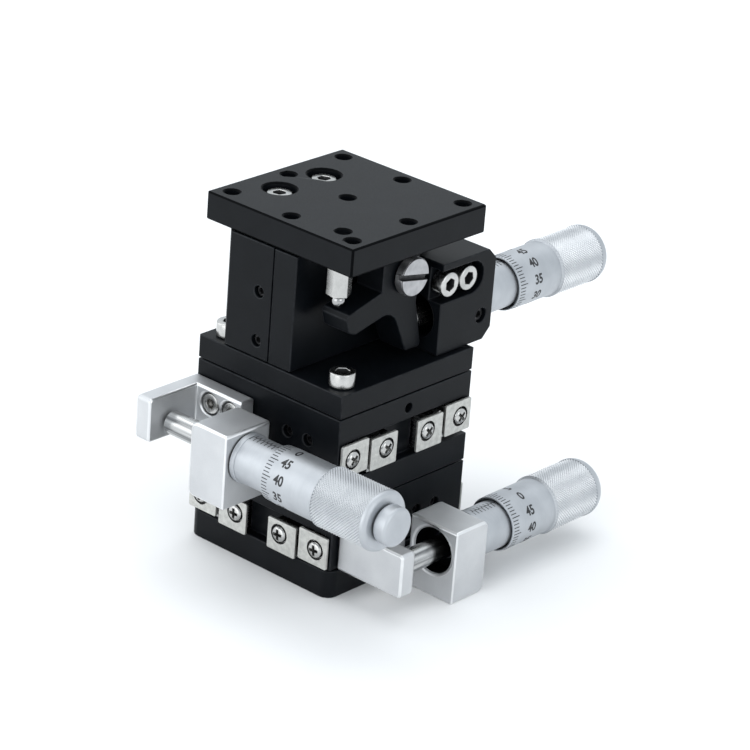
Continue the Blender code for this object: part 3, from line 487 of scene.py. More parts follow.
def dress_cap(node_name, shift=None, new_name=None):
    """An end cap with its screw hole eased open and painted shade inside."""
    cap = machined(node_name, cap_steel, cap_steel, fine_edge, shift, new_name)
    # The hole's walls take the black oxide slot: painted shade inside the hole.
    cap.data.materials[1] = black_oxide_and_shade
    axis = slide_axis(node_name)
    centre = cap_hole_centre(node_name)
    for vert in cap.data.vertices:
        offset = from_line(vert.co, centre, axis)
        if offset.length < cap_hole_r + 2 * fine_edge:
            vert.co += offset.normalized() * (cap_hole_wide_r - cap_hole_r)
    for face in cap.data.polygons:
        near = from_line(face.center, centre, axis).length < cap_hole_wide_r + fine_edge
        face.material_index = int(near and abs(face.normal[axis]) < FACE_ON)
    return cap


for node_name in cap_nodes:
    dress_cap(node_name)
    low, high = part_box(node_name)
    axis = slide_axis(node_name)
    dress_cap(node_name, along(axis, -(low[axis] + high[axis])), node_name + "_far_end")
print(2 * len(cap_nodes), "end caps")

# %% [markdown]
# ## Rings that make any screw
# A screw is a stack of rings from its tip to the floor of its recess. A ring is a
# circle, a hexagon or a cross with the same number of points each time, so any two
# neighbours are simply joined by a band of faces. That way a recess is part of the
# same closed mesh, and no hole has to be cut. Sizes inside a screw are shares of its
# head or its hexagon, as they are in the standards for screws.

# %% Ring shapes and the screw builder
def circle_reach(angle):
    """A circle is equally far out all the way round."""
    return 1.0


def hexagon_reach(angle):
    """How far out a hexagon is, for a half width of one."""
    inside = (angle + math.pi / 6) % (math.pi / 3) - math.pi / 6
    return 1 / math.cos(inside)


CROSS_ARM_SHARE = 0.3


def cross_reach(angle):
    """How far out a cross is, for arms of length one."""
    inside = abs((angle + math.pi / 4) % (math.pi / 2) - math.pi / 4)
    if math.tan(inside) < CROSS_ARM_SHARE:
        return 1 / math.cos(inside)
    return CROSS_ARM_SHARE / math.sin(inside)


def stack_rings(rings, sides=SCREW_SIDES):
    """Joins rings of (reach, radius, height) into one closed shape."""
    shape = bmesh.new()
    loops = []
    for reach, radius, height in rings:
        loop = []
        for number in range(sides):
            angle = 2 * math.pi * number / sides
            far = radius * reach(angle)
            loop.append(shape.verts.new((far * math.cos(angle), far * math.sin(angle), height)))
        loops.append(loop)
    for lower, upper in zip(loops, loops[1:]):
        for number in range(sides):
            after = (number + 1) % sides
            shape.faces.new((lower[number], lower[after], upper[after], upper[number]))
    shape.faces.new(list(reversed(loops[0])))
    shape.faces.new(loops[-1])
    return shape


print("a screw ring has", SCREW_SIDES, "points")

# %% Three kinds of screws
def socket_screw_rings(head_r, head_h, flats, shank_r, length):
    """A socket head screw with its seat at height zero."""
    chamfer = 0.1 * head_r
    depth = 0.78 * head_h
    lip = flats / 2 + 0.25 * chamfer
    return [
        (circle_reach, shank_r, -length),
        (circle_reach, shank_r, 0),
        (circle_reach, head_r, 0),
        (circle_reach, head_r, head_h - chamfer),
        (circle_reach, head_r - chamfer / 3, head_h - chamfer / 3),
        (circle_reach, head_r - chamfer, head_h),
        (hexagon_reach, lip, head_h),
        (hexagon_reach, flats / 2, head_h - chamfer / 2),
        (hexagon_reach, flats / 2, head_h - depth),
        (circle_reach, flats / 8, head_h - depth - flats / 5),
    ]


def pan_screw_rings(head_r, head_h, recess_r, length):
    """A low domed head with a cross recess."""
    return [
        (circle_reach, head_r * 0.6, -length),
        (circle_reach, head_r * 0.6, 0),
        (circle_reach, head_r, 0),
        (circle_reach, head_r, head_h * 0.45),
        (circle_reach, head_r * 0.93, head_h * 0.75),
        (circle_reach, head_r * 0.78, head_h * 0.93),
        (cross_reach, recess_r, head_h),
        (cross_reach, recess_r * 0.85, head_h * 0.5),
        (cross_reach, recess_r * 0.5, -head_h * 0.5),
    ]


def grub_screw_rings(radius, flats, length):
    """A headless screw whose top face is at height zero."""
    chamfer = 0.15 * radius
    return [
        (circle_reach, radius, -length),
        (circle_reach, radius, -chamfer),
        (circle_reach, radius - chamfer, 0),
        (hexagon_reach, flats / 2, 0),
        (hexagon_reach, flats / 2, -0.9 * flats),
        (circle_reach, flats / 8, -1.1 * flats),
    ]


# %% [markdown]
# ## Geometry Nodes that set screws on their seats
# A seat is a point that knows which way its screw faces and how far it is turned. The
# group instances one prototype on all points, realizes the copies and gives them a
# material. Its inputs are set through the socket identifiers of the modifier.

# %% A node group for seats
def new_group(name, inputs):
    """A geometry node group with named inputs, as (label, socket type)."""
    group = bpy.data.node_groups.new(name, "GeometryNodeTree")
    group.interface.new_socket("Geometry", in_out="INPUT", socket_type="NodeSocketGeometry")
    for label, kind in inputs:
        group.interface.new_socket(label, in_out="INPUT", socket_type=kind)
    group.interface.new_socket("Geometry", in_out="OUTPUT", socket_type="NodeSocketGeometry")
    return group


def add_node(group, kind, **settings):
    """Adds a node and sets its properties."""
    node = group.nodes.new(kind)
    for label, value in settings.items():
        setattr(node, label, value)
    return node


def finish_group(group, entry, points, rotation):
    """Sets the prototype on all points, realizes the copies and gives them their material."""
    prototype = add_node(group, "GeometryNodeObjectInfo")
    copies = add_node(group, "GeometryNodeInstanceOnPoints")
    realize = add_node(group, "GeometryNodeRealizeInstances")
    dress = add_node(group, "GeometryNodeSetMaterial")
    leave = add_node(group, "NodeGroupOutput")
    link = group.links.new
    link(entry.outputs["Prototype"], prototype.inputs["Object"])
    link(points, copies.inputs["Points"])
    link(prototype.outputs["Geometry"], copies.inputs["Instance"])
    link(rotation, copies.inputs["Rotation"])
    link(copies.outputs["Instances"], realize.inputs["Geometry"])
    link(realize.outputs["Geometry"], dress.inputs["Geometry"])
    link(entry.outputs["Material"], dress.inputs["Material"])
    link(dress.outputs["Geometry"], leave.inputs["Geometry"])


def read_attribute(group, name, kind):
    """Reads what each point knows under a name."""
    reader = add_node(group, "GeometryNodeInputNamedAttribute", data_type=kind)
    reader.inputs["Name"].default_value = name
    return reader.outputs["Attribute"]


def make_seat_group():
    """Copies that face along each point's direction, spun round it."""
    group = new_group("screws on seats", [("Prototype", "NodeSocketObject"),
                                          ("Material", "NodeSocketMaterial")])
    entry = add_node(group, "NodeGroupInput")
    align = add_node(group, "FunctionNodeAlignRotationToVector", axis="Z")
    spin = add_node(group, "FunctionNodeAxisAngleToRotation")
    turn = add_node(group, "FunctionNodeRotateRotation", rotation_space="LOCAL")
    link = group.links.new
    link(read_attribute(group, "facing", "FLOAT_VECTOR"), align.inputs["Vector"])
    link(read_attribute(group, "spin", "FLOAT"), spin.inputs["Angle"])
    link(align.outputs["Rotation"], turn.inputs["Rotation"])
    link(spin.outputs["Rotation"], turn.inputs["Rotate By"])
    finish_group(group, entry, entry.outputs["Geometry"], turn.outputs["Rotation"])
    return group


def run_group(name, mesh, group, prototype, material, **sizes):
    """Runs a group on a mesh, keeps the result as a plain mesh and drops the prototype."""
    values = {"Prototype": prototype, "Material": material, **sizes}
    piece = new_piece(name, mesh)
    modifier = piece.modifiers.new(group.name, "NODES")
    modifier.node_group = group
    for item in group.interface.items_tree:
        if item.item_type == "SOCKET" and item.in_out == "INPUT" and item.name in values:
            modifier[item.identifier] = values[item.name]
    bpy.context.view_layer.update()
    bake(piece)
    bpy.data.objects.remove(prototype)
    return piece


seat_group = make_seat_group()
print("seat group has", len(seat_group.nodes), "nodes")

# %% Set a batch of screws
SPIN_STEP = math.radians(47)


def set_screws(name, rings, seats, material, body, nodes=()):
    """Screws on seats of (place, facing), each turned a little further than the last."""
    prototype = from_bmesh(name + "_prototype", stack_rings(rings))
    mesh = bpy.data.meshes.new(name)
    mesh.from_pydata([place for place, facing in seats], [], [])
    mesh.attributes.new("facing", "FLOAT_VECTOR", "POINT")
    mesh.attributes.new("spin", "FLOAT", "POINT")
    for number, (place, facing) in enumerate(seats):
        mesh.attributes["facing"].data[number].vector = facing
        mesh.attributes["spin"].data[number].value = SPIN_STEP * (number + len(name))
    piece = run_group(name, mesh, seat_group, prototype, material)
    return finish_piece(piece, material, body, nodes)


print("each screw stands", round(math.degrees(SPIN_STEP)), "degrees further than the last")


# %% [markdown]
# ## Screws that the frame already places
# The frame's own socket screws are plain. Their boxes say where they sit and which
# way they face, so a finer screw of the same size takes each one's place. The widest
# points of the frame's screw are its head, and the lowest of those is its seat.

# %% Replace the frame's socket screws
M3_FLATS = 2.5 * MM
HEAD_SHARE = 0.9
SHANK_SHARE = 0.55
RECESS_SHARE = 0.6
BELOW_TOP_SHARE = 0.97


def screw_box(node_name, axis):
    """Seat, head radius, head height and shank length, from a screw's box and faces."""
    low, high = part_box(node_name)
    across = (axis + 1) % 3
    middle = (low + high) / 2
    head_r = (high[across] - low[across]) / 2
    wide = [vert.co[axis] for vert in frame["nodes"][node_name].data.vertices
            if abs(vert.co[across] - middle[across]) > HEAD_SHARE * head_r]
    seat = middle.copy()
    seat[axis] = min(wide)
    return seat, head_r, high[axis] - min(wide), min(wide) - low[axis]


def paint_recess_shade(screws, seats, reach, top):
    """The hexagons get painted shade inside: their recess faces take the black slot."""
    screws.data.materials.append(black_oxide_and_shade)
    for face in screws.data.polygons:
        for place, facing in seats:
            offset = face.center - place
            height = offset.dot(facing)
            if 0 < height < top and (offset - height * facing).length < reach:
                face.material_index = len(screws.data.materials) - 1


def replace_socket_screw(node_name, axis):
    """A finer screw in the place of a node's own."""
    seat, head_r, head_h, length = screw_box(node_name, axis)
    seats = [(seat, along(axis))]
    rings = socket_screw_rings(head_r, head_h, M3_FLATS, SHANK_SHARE * head_r, length)
    screw = set_screws(node_name + "_dressed", rings, seats, steel, body_of(node_name),
                       (node_name,))
    paint_recess_shade(screw, seats, RECESS_SHARE * M3_FLATS, BELOW_TOP_SHARE * head_h)
    print(node_name, "head radius", round(head_r / MM, 2), "mm")


for node_name in frame["nodes"]:
    if "plate_screw" in node_name:
        replace_socket_screw(node_name, 2)
    if "block_screw" in node_name:
        replace_socket_screw(node_name, 0)

# %% [markdown]
# ## Small screws that only the picture needs
# End caps and brackets each have their screws. Their places follow from the same
# layout as the frame: so far from the slide's middle, so far under its table. A cap
# has a low screw with a cross recess, and a bracket has two small socket screws. All
# screws of one kind on one body are one mesh, so the seat group places them at once.

# %% Screws of the end caps
cap_screw_r = 1.8 * MM
cap_screw_h = 1.35 * MM
cap_recess_r = 1.15 * MM
cap_shank_l = 1.5 * MM
way_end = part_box("x_inner_rail_front")[1][0]


def cap_seats(node_name):
    """Seats on both ends of the rail behind a cap, in the middle of the cap's hole."""
    axis = slide_axis(node_name)
    seats = []
    for sign in (1, -1):
        place = cap_hole_centre(node_name)
        place[axis] = sign * way_end
        seats.append((place, along(axis, sign)))
    return seats


cap_bodies = {}
for node_name in cap_nodes:
    key = (node_name[0], "inner" if "inner" in node_name else "outer", body_of(node_name))
    cap_bodies.setdefault(key, []).extend(cap_seats(node_name))
for (slide, half, body), seats in cap_bodies.items():
    set_screws(slide + "_" + half + "_end_cap_screws",
               pan_screw_rings(cap_screw_r, cap_screw_h, cap_recess_r, cap_shank_l),
               seats, steel, body)
print(sum(len(seats) for seats in cap_bodies.values()), "end cap screws")

# %% Screws of the brackets and flanges
m25_head_r = 2.2 * MM
m25_head_h = 2.3 * MM
m25_flats = 2.0 * MM
m25_shank_r = 1.2 * MM
m25_shank_l = 3.0 * MM
small_rings = socket_screw_rings(m25_head_r, m25_head_h, m25_flats, m25_shank_r, m25_shank_l)

table_top_t = 5.5 * MM
table_floor = {name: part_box(name + "_table")[1][2] - table_top_t for name in ("x", "y")}
bracket_places = (7.5 * MM, 13.3 * MM)
bracket_screw_drop = 1.15 * MM
bracket_seat = {"x": -21.5 * MM, "y": 21.5 * MM}


def bracket_seats(name):
    """Seats on the foot of a bracket, in a row along its slide."""
    low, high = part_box(name + "_anvil_bracket")
    axis = slide_axis(name)
    seats = []
    for place in bracket_places:
        spot = Vector((0, 0, table_floor[name] - bracket_screw_drop))
        spot[axis] = low[axis] + place
        spot[1 - axis] = bracket_seat[name]
        seats.append((spot, along(1 - axis, math.copysign(1, bracket_seat[name]))))
    return seats


for name in bracket_seat:
    set_screws(name + "_bracket_screws", small_rings, bracket_seats(name), steel,
               name + "_carriage")
print(len(bracket_places), "screws on each bracket")

# %% [markdown]
# ## Micrometer heads
# A micrometer head is a sleeve with a scale, a thimble that turns on it and a spindle
# that pushes the slide. Each is drawn once in the head's own axes: Z runs towards the
# knob and X points up. A matrix from the frame's boxes then sets it in place. Turned
# parts are profiles spun round Z, as a lathe makes them, so a step or a bevel is one
# more point of the profile.

# %% Axes of the three heads
heads = {"x": 0, "y": 1, "lift": 1}
head_axis = {"x": "x", "y": "y", "lift": "y"}
head_zero = {"x": math.radians(1), "y": math.radians(22), "lift": math.radians(-31)}


def head_matrix(name):
    """From a head's own axes to the frame, with zero at the thimble's front edge."""
    low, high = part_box(name + "_thimble")
    axis = heads[name]
    origin = (low + high) / 2
    origin[axis] = low[axis]
    ahead = along(axis)
    up = along(2)
    turn = Matrix((up, ahead.cross(up), ahead)).transposed().to_4x4()
    return Matrix.Translation(origin) @ turn


head_matrices = {name: head_matrix(name) for name in heads}
for name, matrix in head_matrices.items():
    print(name, "head starts at", [round(side / MM, 1) for side in matrix.translation], "mm")


# %% The lathe
def spin_profile(profile, sides=ROUND_SIDES):
    """A closed turned shape whose profile is (radius, height) points."""
    shape = bmesh.new()
    loops = []
    for radius, height in profile:
        if radius < WELD:
            loops.append([shape.verts.new((0, 0, height))] * sides)
            continue
        loops.append([shape.verts.new((radius * math.cos(2 * math.pi * number / sides),
                                       radius * math.sin(2 * math.pi * number / sides), height))
                      for number in range(sides)])
    pairs = list(zip(loops, loops[1:]))
    if loops[0][0] is not loops[0][-1] and loops[-1][0] is not loops[-1][-1]:
        pairs.append((loops[-1], loops[0]))
    for lower, upper in pairs:
        for number in range(sides):
            after = (number + 1) % sides
            corners = [lower[number], lower[after], upper[after], upper[number]]
            unique = [vert for place, vert in enumerate(corners) if vert not in corners[:place]]
            shape.faces.new(unique)
    return shape


def add_turned(node_name, profile, matrix, material):
    """Turns a node's piece and sets it in place."""
    shape = spin_profile(profile)
    bmesh.ops.transform(shape, matrix=matrix, verts=shape.verts)
    return stand_for(from_bmesh(node_name + "_dressed", shape), material, node_name)


def arc_points(centre, radius, start, end, steps):
    """Points on an arc, from one angle in degrees to another."""
    points = []
    for step in range(steps + 1):
        angle = math.radians(start + (end - start) * step / steps)
        points.append((centre[0] + radius * math.cos(angle),
                       centre[1] + radius * math.sin(angle)))
    return points


print("turned parts have", ROUND_SIDES, "sides")

# %% [markdown]
# ## Profiles of the heads
# The thimble has a bevelled front that carries the divisions, a smooth barrel and a
# thicker knurled grip. The X head ends in a knob on a neck. The Y and lift heads end
# in a low cap and have a longer grip with a rounder end, as far as the photograph
# shows. Every profile runs once round the cross-section of its piece, so each shape
# is closed.

# %% Sizes of the thimbles and their ends
lip_r = 5.75 * MM
lip_bore_r = 5.55 * MM
barrel_r = 5.95 * MM
grip_r = 6.4 * MM
bevel_l = 2.6 * MM
barrel_l = 13.6 * MM
step_l = 0.35 * MM
sleeve_r = 5.1 * MM
collar_r = 5.3 * MM
bore_l = 20.8 * MM
lip_bore_l = 1.5 * MM
wall_gap = 0.3 * MM
spindle_r = 2.5 * MM
tail_r = 2.2 * MM
knob_r = 4.1 * MM
knob_l = 3.0 * MM
knob_round = 0.7 * MM
knob_neck_r = 3.8 * MM
knob_neck_l = 0.35 * MM
cap_l = 0.4 * MM
cap_round = 0.2 * MM
spigot_l = 2.6 * MM
knob_head_l = 28.2 * MM
cap_head_l = 30.3 * MM
head_l = {"x": knob_head_l, "y": cap_head_l, "lift": cap_head_l}
round_r = {"x": 1.1 * MM, "y": 3.1 * MM, "lift": 3.1 * MM}
ROUND_STEPS = 10
CAP_STEPS = 4
print("thimbles are", {name: round(length / MM, 1) for name, length in head_l.items()}, "mm long")


# %% Profiles of the thimbles and their ends
def thimble_profile(length, end_round):
    """The wall of a thimble, from the hole in its end round to its bore."""
    hole = tail_r + wall_gap
    valley = grip_r - knurl_depth
    start = barrel_l + step_l
    end = length - end_round
    return [
        (hole, length),
        *arc_points((grip_r - end_round, end), end_round, 90, 0, ROUND_STEPS),
        (grip_r, end - knurl_margin),
        (valley, end - 2 * knurl_margin),
        (valley, start + 2 * knurl_margin),
        (grip_r, start + knurl_margin),
        (grip_r, start + fine_edge),
        (grip_r - fine_edge, start),
        (barrel_r + fine_edge, barrel_l + fine_edge),
        (barrel_r, barrel_l),
        (barrel_r, bevel_l),
        (lip_r + fine_edge, fine_edge),
        (lip_r, 0),
        (lip_bore_r, 0),
        (lip_bore_r, lip_bore_l),
        (sleeve_r + wall_gap, lip_bore_l),
        (sleeve_r + wall_gap, bore_l),
        (hole, bore_l),
    ]


def knob_profile():
    """A knob on its neck, with the spigot that fills the thimble's hole."""
    start = knob_head_l + wall_gap
    top = start + knob_l
    return [
        (0, top),
        *arc_points((knob_r - knob_round, top - knob_round), knob_round, 90, 0, ROUND_STEPS),
        (knob_r, start + knob_neck_l + fine_edge),
        (knob_r - fine_edge, start + knob_neck_l),
        (knob_neck_r, start + knob_neck_l),
        (knob_neck_r, start),
        (tail_r, start),
        (tail_r, start - spigot_l),
        (0, start - spigot_l),
    ]


def low_cap_profile():
    """A low cap with the same spigot."""
    start = cap_head_l + wall_gap
    top = start + cap_l
    return [
        (0, top),
        *arc_points((knob_r - cap_round, top - cap_round), cap_round, 90, 0, CAP_STEPS),
        (knob_r, start),
        (tail_r, start),
        (tail_r, start - spigot_l),
        (0, start - spigot_l),
    ]


end_profiles = {"x": knob_profile(), "y": low_cap_profile(), "lift": low_cap_profile()}
print("ends of", {name: len(points) for name, points in end_profiles.items()}, "points")

# %% Profiles of the sleeves and spindles
clamped_l = 6.0 * MM
sleeve_end = 13.0 * MM
collar_l = 1.0 * MM
shank_r = 4.55 * MM
spindle_end = 24.8 * MM
spindle_shoulder = 20.2 * MM
TIP_STEPS = ((1.0, 0.5 * MM), (0.93, 0.33 * MM), (0.6, 0.125 * MM), (0.3, 0.03 * MM))


def sleeve_profile(shown_l):
    """The sleeve, from under the thimble to its shank in the block."""
    face = wall_gap - shown_l
    bore_r = spindle_r + wall_gap
    return [
        (bore_r, sleeve_end),
        (sleeve_r, sleeve_end),
        (sleeve_r, face + collar_l + fine_edge),
        (collar_r - fine_edge, face + collar_l + fine_edge),
        (collar_r, face + collar_l),
        (collar_r, face),
        (shank_r, face),
        (shank_r, -shown_l - clamped_l),
        (bore_r, -shown_l - clamped_l),
    ]


def spindle_profile(tip):
    """The spindle, from its thin tail to its domed tip."""
    return [
        (0, spindle_end),
        (tail_r, spindle_end),
        (tail_r, spindle_shoulder),
        (spindle_r, spindle_shoulder),
        *[(share * spindle_r, tip + rise) for share, rise in TIP_STEPS],
        (0, tip),
    ]


def paint_shank_shade(sleeve, matrix, face):
    """What shows of a sleeve through its block's bore gets painted shade."""
    sleeve.data.materials.append(painted_shade_black)
    back = matrix.inverted()
    for polygon in sleeve.data.polygons:
        if (back @ polygon.center).z < face - fine_edge:
            polygon.material_index = len(sleeve.data.materials) - 1


print("a spindle has", len(spindle_profile(0)), "points")

# %% Turn the heads
shown = {}
for name, axis in heads.items():
    matrix = head_matrices[name]
    material = satin[head_axis[name]]
    thimble_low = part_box(name + "_thimble")[0][axis]
    shown[name] = thimble_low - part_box(name + "_sleeve")[0][axis] - clamped_l
    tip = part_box(name + "_spindle")[0][axis] - thimble_low
    add_turned(name + "_thimble", thimble_profile(head_l[name], round_r[name]), matrix, material)
    add_turned(name + "_end_knob", end_profiles[name], matrix, material)
    sleeve = add_turned(name + "_sleeve", sleeve_profile(shown[name]), matrix, material)
    paint_shank_shade(sleeve, matrix, wall_gap - shown[name])
    add_turned(name + "_spindle", spindle_profile(tip), matrix, spindle_reflection_steel[head_axis[name]])
print("sleeve shown, in mm:", {name: round(value / MM, 2) for name, value in shown.items()})

# %% [markdown]
# ## A diamond knurl from a lattice of points
# Crossed grooves are rolled into the grip of a thimble, and what stays between them
# is a lattice of small pyramids. The group makes the points from their index alone:
# columns go round, rows go along, and every other row is shifted by half a column.
# Each pyramid faces outwards, and its base meets its neighbours' bases. Real shapes
# catch the light as metal does, which bump in a material would not.

# %% The knurl group
def math_node(group, operation, first, second=0.0):
    """One step of arithmetic on sockets or plain numbers."""
    node = add_node(group, "ShaderNodeMath", operation=operation)
    for place, value in enumerate((first, second)):
        if isinstance(value, (int, float)):
            node.inputs[place].default_value = value
        else:
            group.links.new(value, node.inputs[place])
    return node.outputs["Value"]


def make_knurl_group():
    """Copies in rows and columns round a cylinder."""
    group = new_group("diamond knurl", [
        ("Prototype", "NodeSocketObject"), ("Columns", "NodeSocketInt"),
        ("Rows", "NodeSocketInt"), ("Radius", "NodeSocketFloat"),
        ("Start", "NodeSocketFloat"), ("Step", "NodeSocketFloat"),
        ("Material", "NodeSocketMaterial")])
    entry = add_node(group, "NodeGroupInput")
    value = entry.outputs
    link = group.links.new
    index = add_node(group, "GeometryNodeInputIndex").outputs["Index"]
    column = math_node(group, "MODULO", index, value["Columns"])
    row = math_node(group, "FLOOR", math_node(group, "DIVIDE", index, value["Columns"]))
    odd = math_node(group, "MODULO", row, 2.0)
    shifted = math_node(group, "ADD", column, math_node(group, "MULTIPLY", odd, 0.5))
    turns = math_node(group, "DIVIDE", shifted, value["Columns"])
    angle = math_node(group, "MULTIPLY", turns, 2 * math.pi)
    place = add_node(group, "ShaderNodeCombineXYZ")
    for side, wave in (("X", "COSINE"), ("Y", "SINE")):
        far = math_node(group, "MULTIPLY", math_node(group, wave, angle), value["Radius"])
        link(far, place.inputs[side])
    rise = math_node(group, "MULTIPLY", row, value["Step"])
    link(math_node(group, "ADD", rise, value["Start"]), place.inputs["Z"])
    points = add_node(group, "GeometryNodePoints")
    link(math_node(group, "MULTIPLY", value["Columns"], value["Rows"]), points.inputs["Count"])
    link(place.outputs["Vector"], points.inputs["Position"])
    outwards = add_node(group, "FunctionNodeAxisAngleToRotation")
    link(angle, outwards.inputs["Angle"])
    finish_group(group, entry, points.outputs["Points"], outwards.outputs["Rotation"])
    return group


def make_pyramid(width, length, height):
    """A pyramid on a diamond, pointing along X from the floor of the grooves."""
    shape = bmesh.new()
    base = [shape.verts.new(corner) for corner in
            ((0, -width / 2, 0), (0, 0, -length / 2), (0, width / 2, 0), (0, 0, length / 2))]
    top = shape.verts.new((height, 0, 0))
    shape.faces.new(base)
    for number in range(4):
        shape.faces.new((base[number], base[(number + 1) % 4], top))
    bmesh.ops.recalc_face_normals(shape, faces=shape.faces)
    mesh = bpy.data.meshes.new("pyramid")
    shape.to_mesh(mesh)
    shape.free()
    return new_piece("pyramid_prototype", mesh)


knurl_group = make_knurl_group()
print("knurl group has", len(knurl_group.nodes), "nodes")

# %% Roll the knurls
valley_r = grip_r - knurl_depth
knurl_width = 2 * math.pi * valley_r / knurl_columns
knurl_start = barrel_l + step_l + 2 * knurl_margin
for name in heads:
    knurl_end = head_l[name] - round_r[name] - 2 * knurl_margin
    knurl_rows = 2 * round((knurl_end - knurl_start) / knurl_width) + 1
    knurl_step = (knurl_end - knurl_start) / (knurl_rows - 1)
    pyramid = make_pyramid(knurl_width, 2 * knurl_step, knurl_depth)
    knurl = run_group(name + "_thimble_knurl", bpy.data.meshes.new("knurl"), knurl_group,
                      pyramid, knurled, Columns=knurl_columns, Rows=knurl_rows,
                      Radius=valley_r, Start=knurl_start, Step=knurl_step)
    knurl.data.transform(head_matrices[name])
    finish_piece(knurl, knurled, name + "_thimble_body")
    print(name, "thimble has", knurl_rows, "rows of", knurl_columns, "diamonds")

# %% [markdown]
# ## Graduations from one prototype each
# A mark is a thin patch of ink that follows the turned surface under it. A second
# group repeats it: so far along the axis and so far round it from one to the next.
# Fifty ticks round a thimble and a scale along a sleeve are the same group with other
# numbers.

# %% A patch of ink and the group that repeats it
def ink_patch(name, profile, first, last, steps=1):
    """A thin closed patch on a turned surface, between two angles."""
    shape = bmesh.new()
    layers = []
    for shift in (-ink_depth, ink_proud):
        grid = []
        for radius, height in profile:
            angles = [first + (last - first) * step / steps for step in range(steps + 1)]
            far = radius + shift
            grid.append([shape.verts.new((far * math.cos(angle), far * math.sin(angle), height))
                         for angle in angles])
        layers.append(grid)
    for grid in layers:
        for lower, upper in zip(grid, grid[1:]):
            for number in range(steps):
                shape.faces.new((lower[number], lower[number + 1],
                                 upper[number + 1], upper[number]))
    below, above = [[*grid[0], *[row[-1] for row in grid[1:]], *reversed(grid[-1][:-1]),
                     *[row[0] for row in reversed(grid[1:-1])]] for grid in layers]
    for number in range(len(below)):
        shape.faces.new((below[number - 1], below[number], above[number], above[number - 1]))
    return from_bmesh(name, shape)


def make_row_group():
    """Copies one after the other, along Z and round it."""
    group = new_group("copies in a row", [
        ("Prototype", "NodeSocketObject"), ("Count", "NodeSocketInt"),
        ("Step", "NodeSocketFloat"), ("Turn", "NodeSocketFloat"),
        ("Material", "NodeSocketMaterial")])
    entry = add_node(group, "NodeGroupInput")
    value = entry.outputs
    link = group.links.new
    index = add_node(group, "GeometryNodeInputIndex").outputs["Index"]
    place = add_node(group, "ShaderNodeCombineXYZ")
    link(math_node(group, "MULTIPLY", index, value["Step"]), place.inputs["Z"])
    turn = add_node(group, "FunctionNodeAxisAngleToRotation")
    link(math_node(group, "MULTIPLY", index, value["Turn"]), turn.inputs["Angle"])
    points = add_node(group, "GeometryNodePoints")
    link(value["Count"], points.inputs["Count"])
    link(place.outputs["Vector"], points.inputs["Position"])
    finish_group(group, entry, points.outputs["Points"], turn.outputs["Rotation"])
    return group


row_group = make_row_group()


def repeat_mark(name, prototype, count, step, turn, matrix, body):
    """Repeats a mark in a head's own axes and then sets the row in place."""
    row = run_group(name, bpy.data.meshes.new("row"), row_group, prototype, ink,
                    Count=count, Step=step, Turn=turn)
    row.data.transform(matrix)
    return finish_piece(row, ink, body)


print("row group has", len(row_group.nodes), "nodes")

# %% [markdown]
# ## Divisions and scales
# Fifty divisions stand on the bevelled front of a thimble, every fifth a little
# longer. A turn is half a millimetre, so the sleeve under it has a line along its
# length, with a tick for each millimetre on one side and for each half on the other.
# The real marks are engraved and filled with black. Here they are meshes that ride on
# the thimble's or the sleeve's body, so they turn with it.

# %% Ticks round the thimbles
def bevel_at(height):
    """Radius of a thimble's bevelled front at a distance from its edge."""
    share = (height - fine_edge) / (bevel_l - fine_edge)
    edge_r = lip_r + fine_edge
    return edge_r + (barrel_r - edge_r) * share


half_tick = tick_w / 2 / barrel_r
division = 2 * math.pi / division_count
for name in heads:
    start = head_matrices[name] @ Matrix.Rotation(head_zero[name], 4, "Z")
    for word, length, every in (("short", short_tick, 1),
                                ("long", long_tick, divisions_per_number)):
        ends = [(bevel_at(height), height) for height in (tick_start, length)]
        tick = ink_patch(name + "_tick", ends, -half_tick, half_tick)
        repeat_mark(name + "_thimble_" + word + "_ticks", tick, division_count // every, 0.0,
                    every * division, start, name + "_thimble_body")
print("a tick is", round(tick_w / MM, 2), "mm wide, one every", round(math.degrees(division), 1),
      "degrees")

# %% Scales along the sleeves
mm_tick = 1.3 * MM
half_mm_tick = 0.9 * MM
scale_pitch = 1.0 * MM
scale_margin = 1.5 * MM
line_end = 2.0 * MM
BAND_STEPS = 6
for name in heads:
    body = body_of(name + "_sleeve")
    matrix = head_matrices[name]
    first = -shown[name] + scale_margin
    line = ink_patch(name + "_line", [(sleeve_r, first), (sleeve_r, line_end)],
                     -half_tick, half_tick)
    repeat_mark(name + "_sleeve_line", line, 1, 0.0, 0.0, matrix, body)
    count = int((-first + scale_pitch) / scale_pitch)
    for word, length, shift in (("mm", mm_tick, 0), ("half_mm", -half_mm_tick, 0.5)):
        low = first + shift * scale_pitch
        band = [(sleeve_r, low), (sleeve_r, low + tick_w)]
        tick = ink_patch(name + "_scale_tick", band, 0, length / sleeve_r, BAND_STEPS)
        repeat_mark(name + "_sleeve_" + word + "_ticks", tick, count, scale_pitch, 0.0, matrix,
                    body)
    print(name, "sleeve shows", count, "ticks a side")

# %% [markdown]
# ## Numbers that wrap round the thimble
# Every fifth division has its number on the barrel. Text starts flat. Thin cuts across
# it let it bend, and then its height turns into an angle round the barrel while its
# width runs towards the knob. Each number is a thin closed solid that stands a hair
# proud of the barrel, so that no face of the two lies in the same place.

# %% Wrap the numbers
DIGIT_HEIGHT_SHARE = 0.7
DIGIT_WIDTH_SHARE = 0.86
DIGIT_WEIGHT_SHARE = 0.03
number_centre = {"x": 4.75 * MM, "y": 6.05 * MM, "lift": 6.2 * MM}


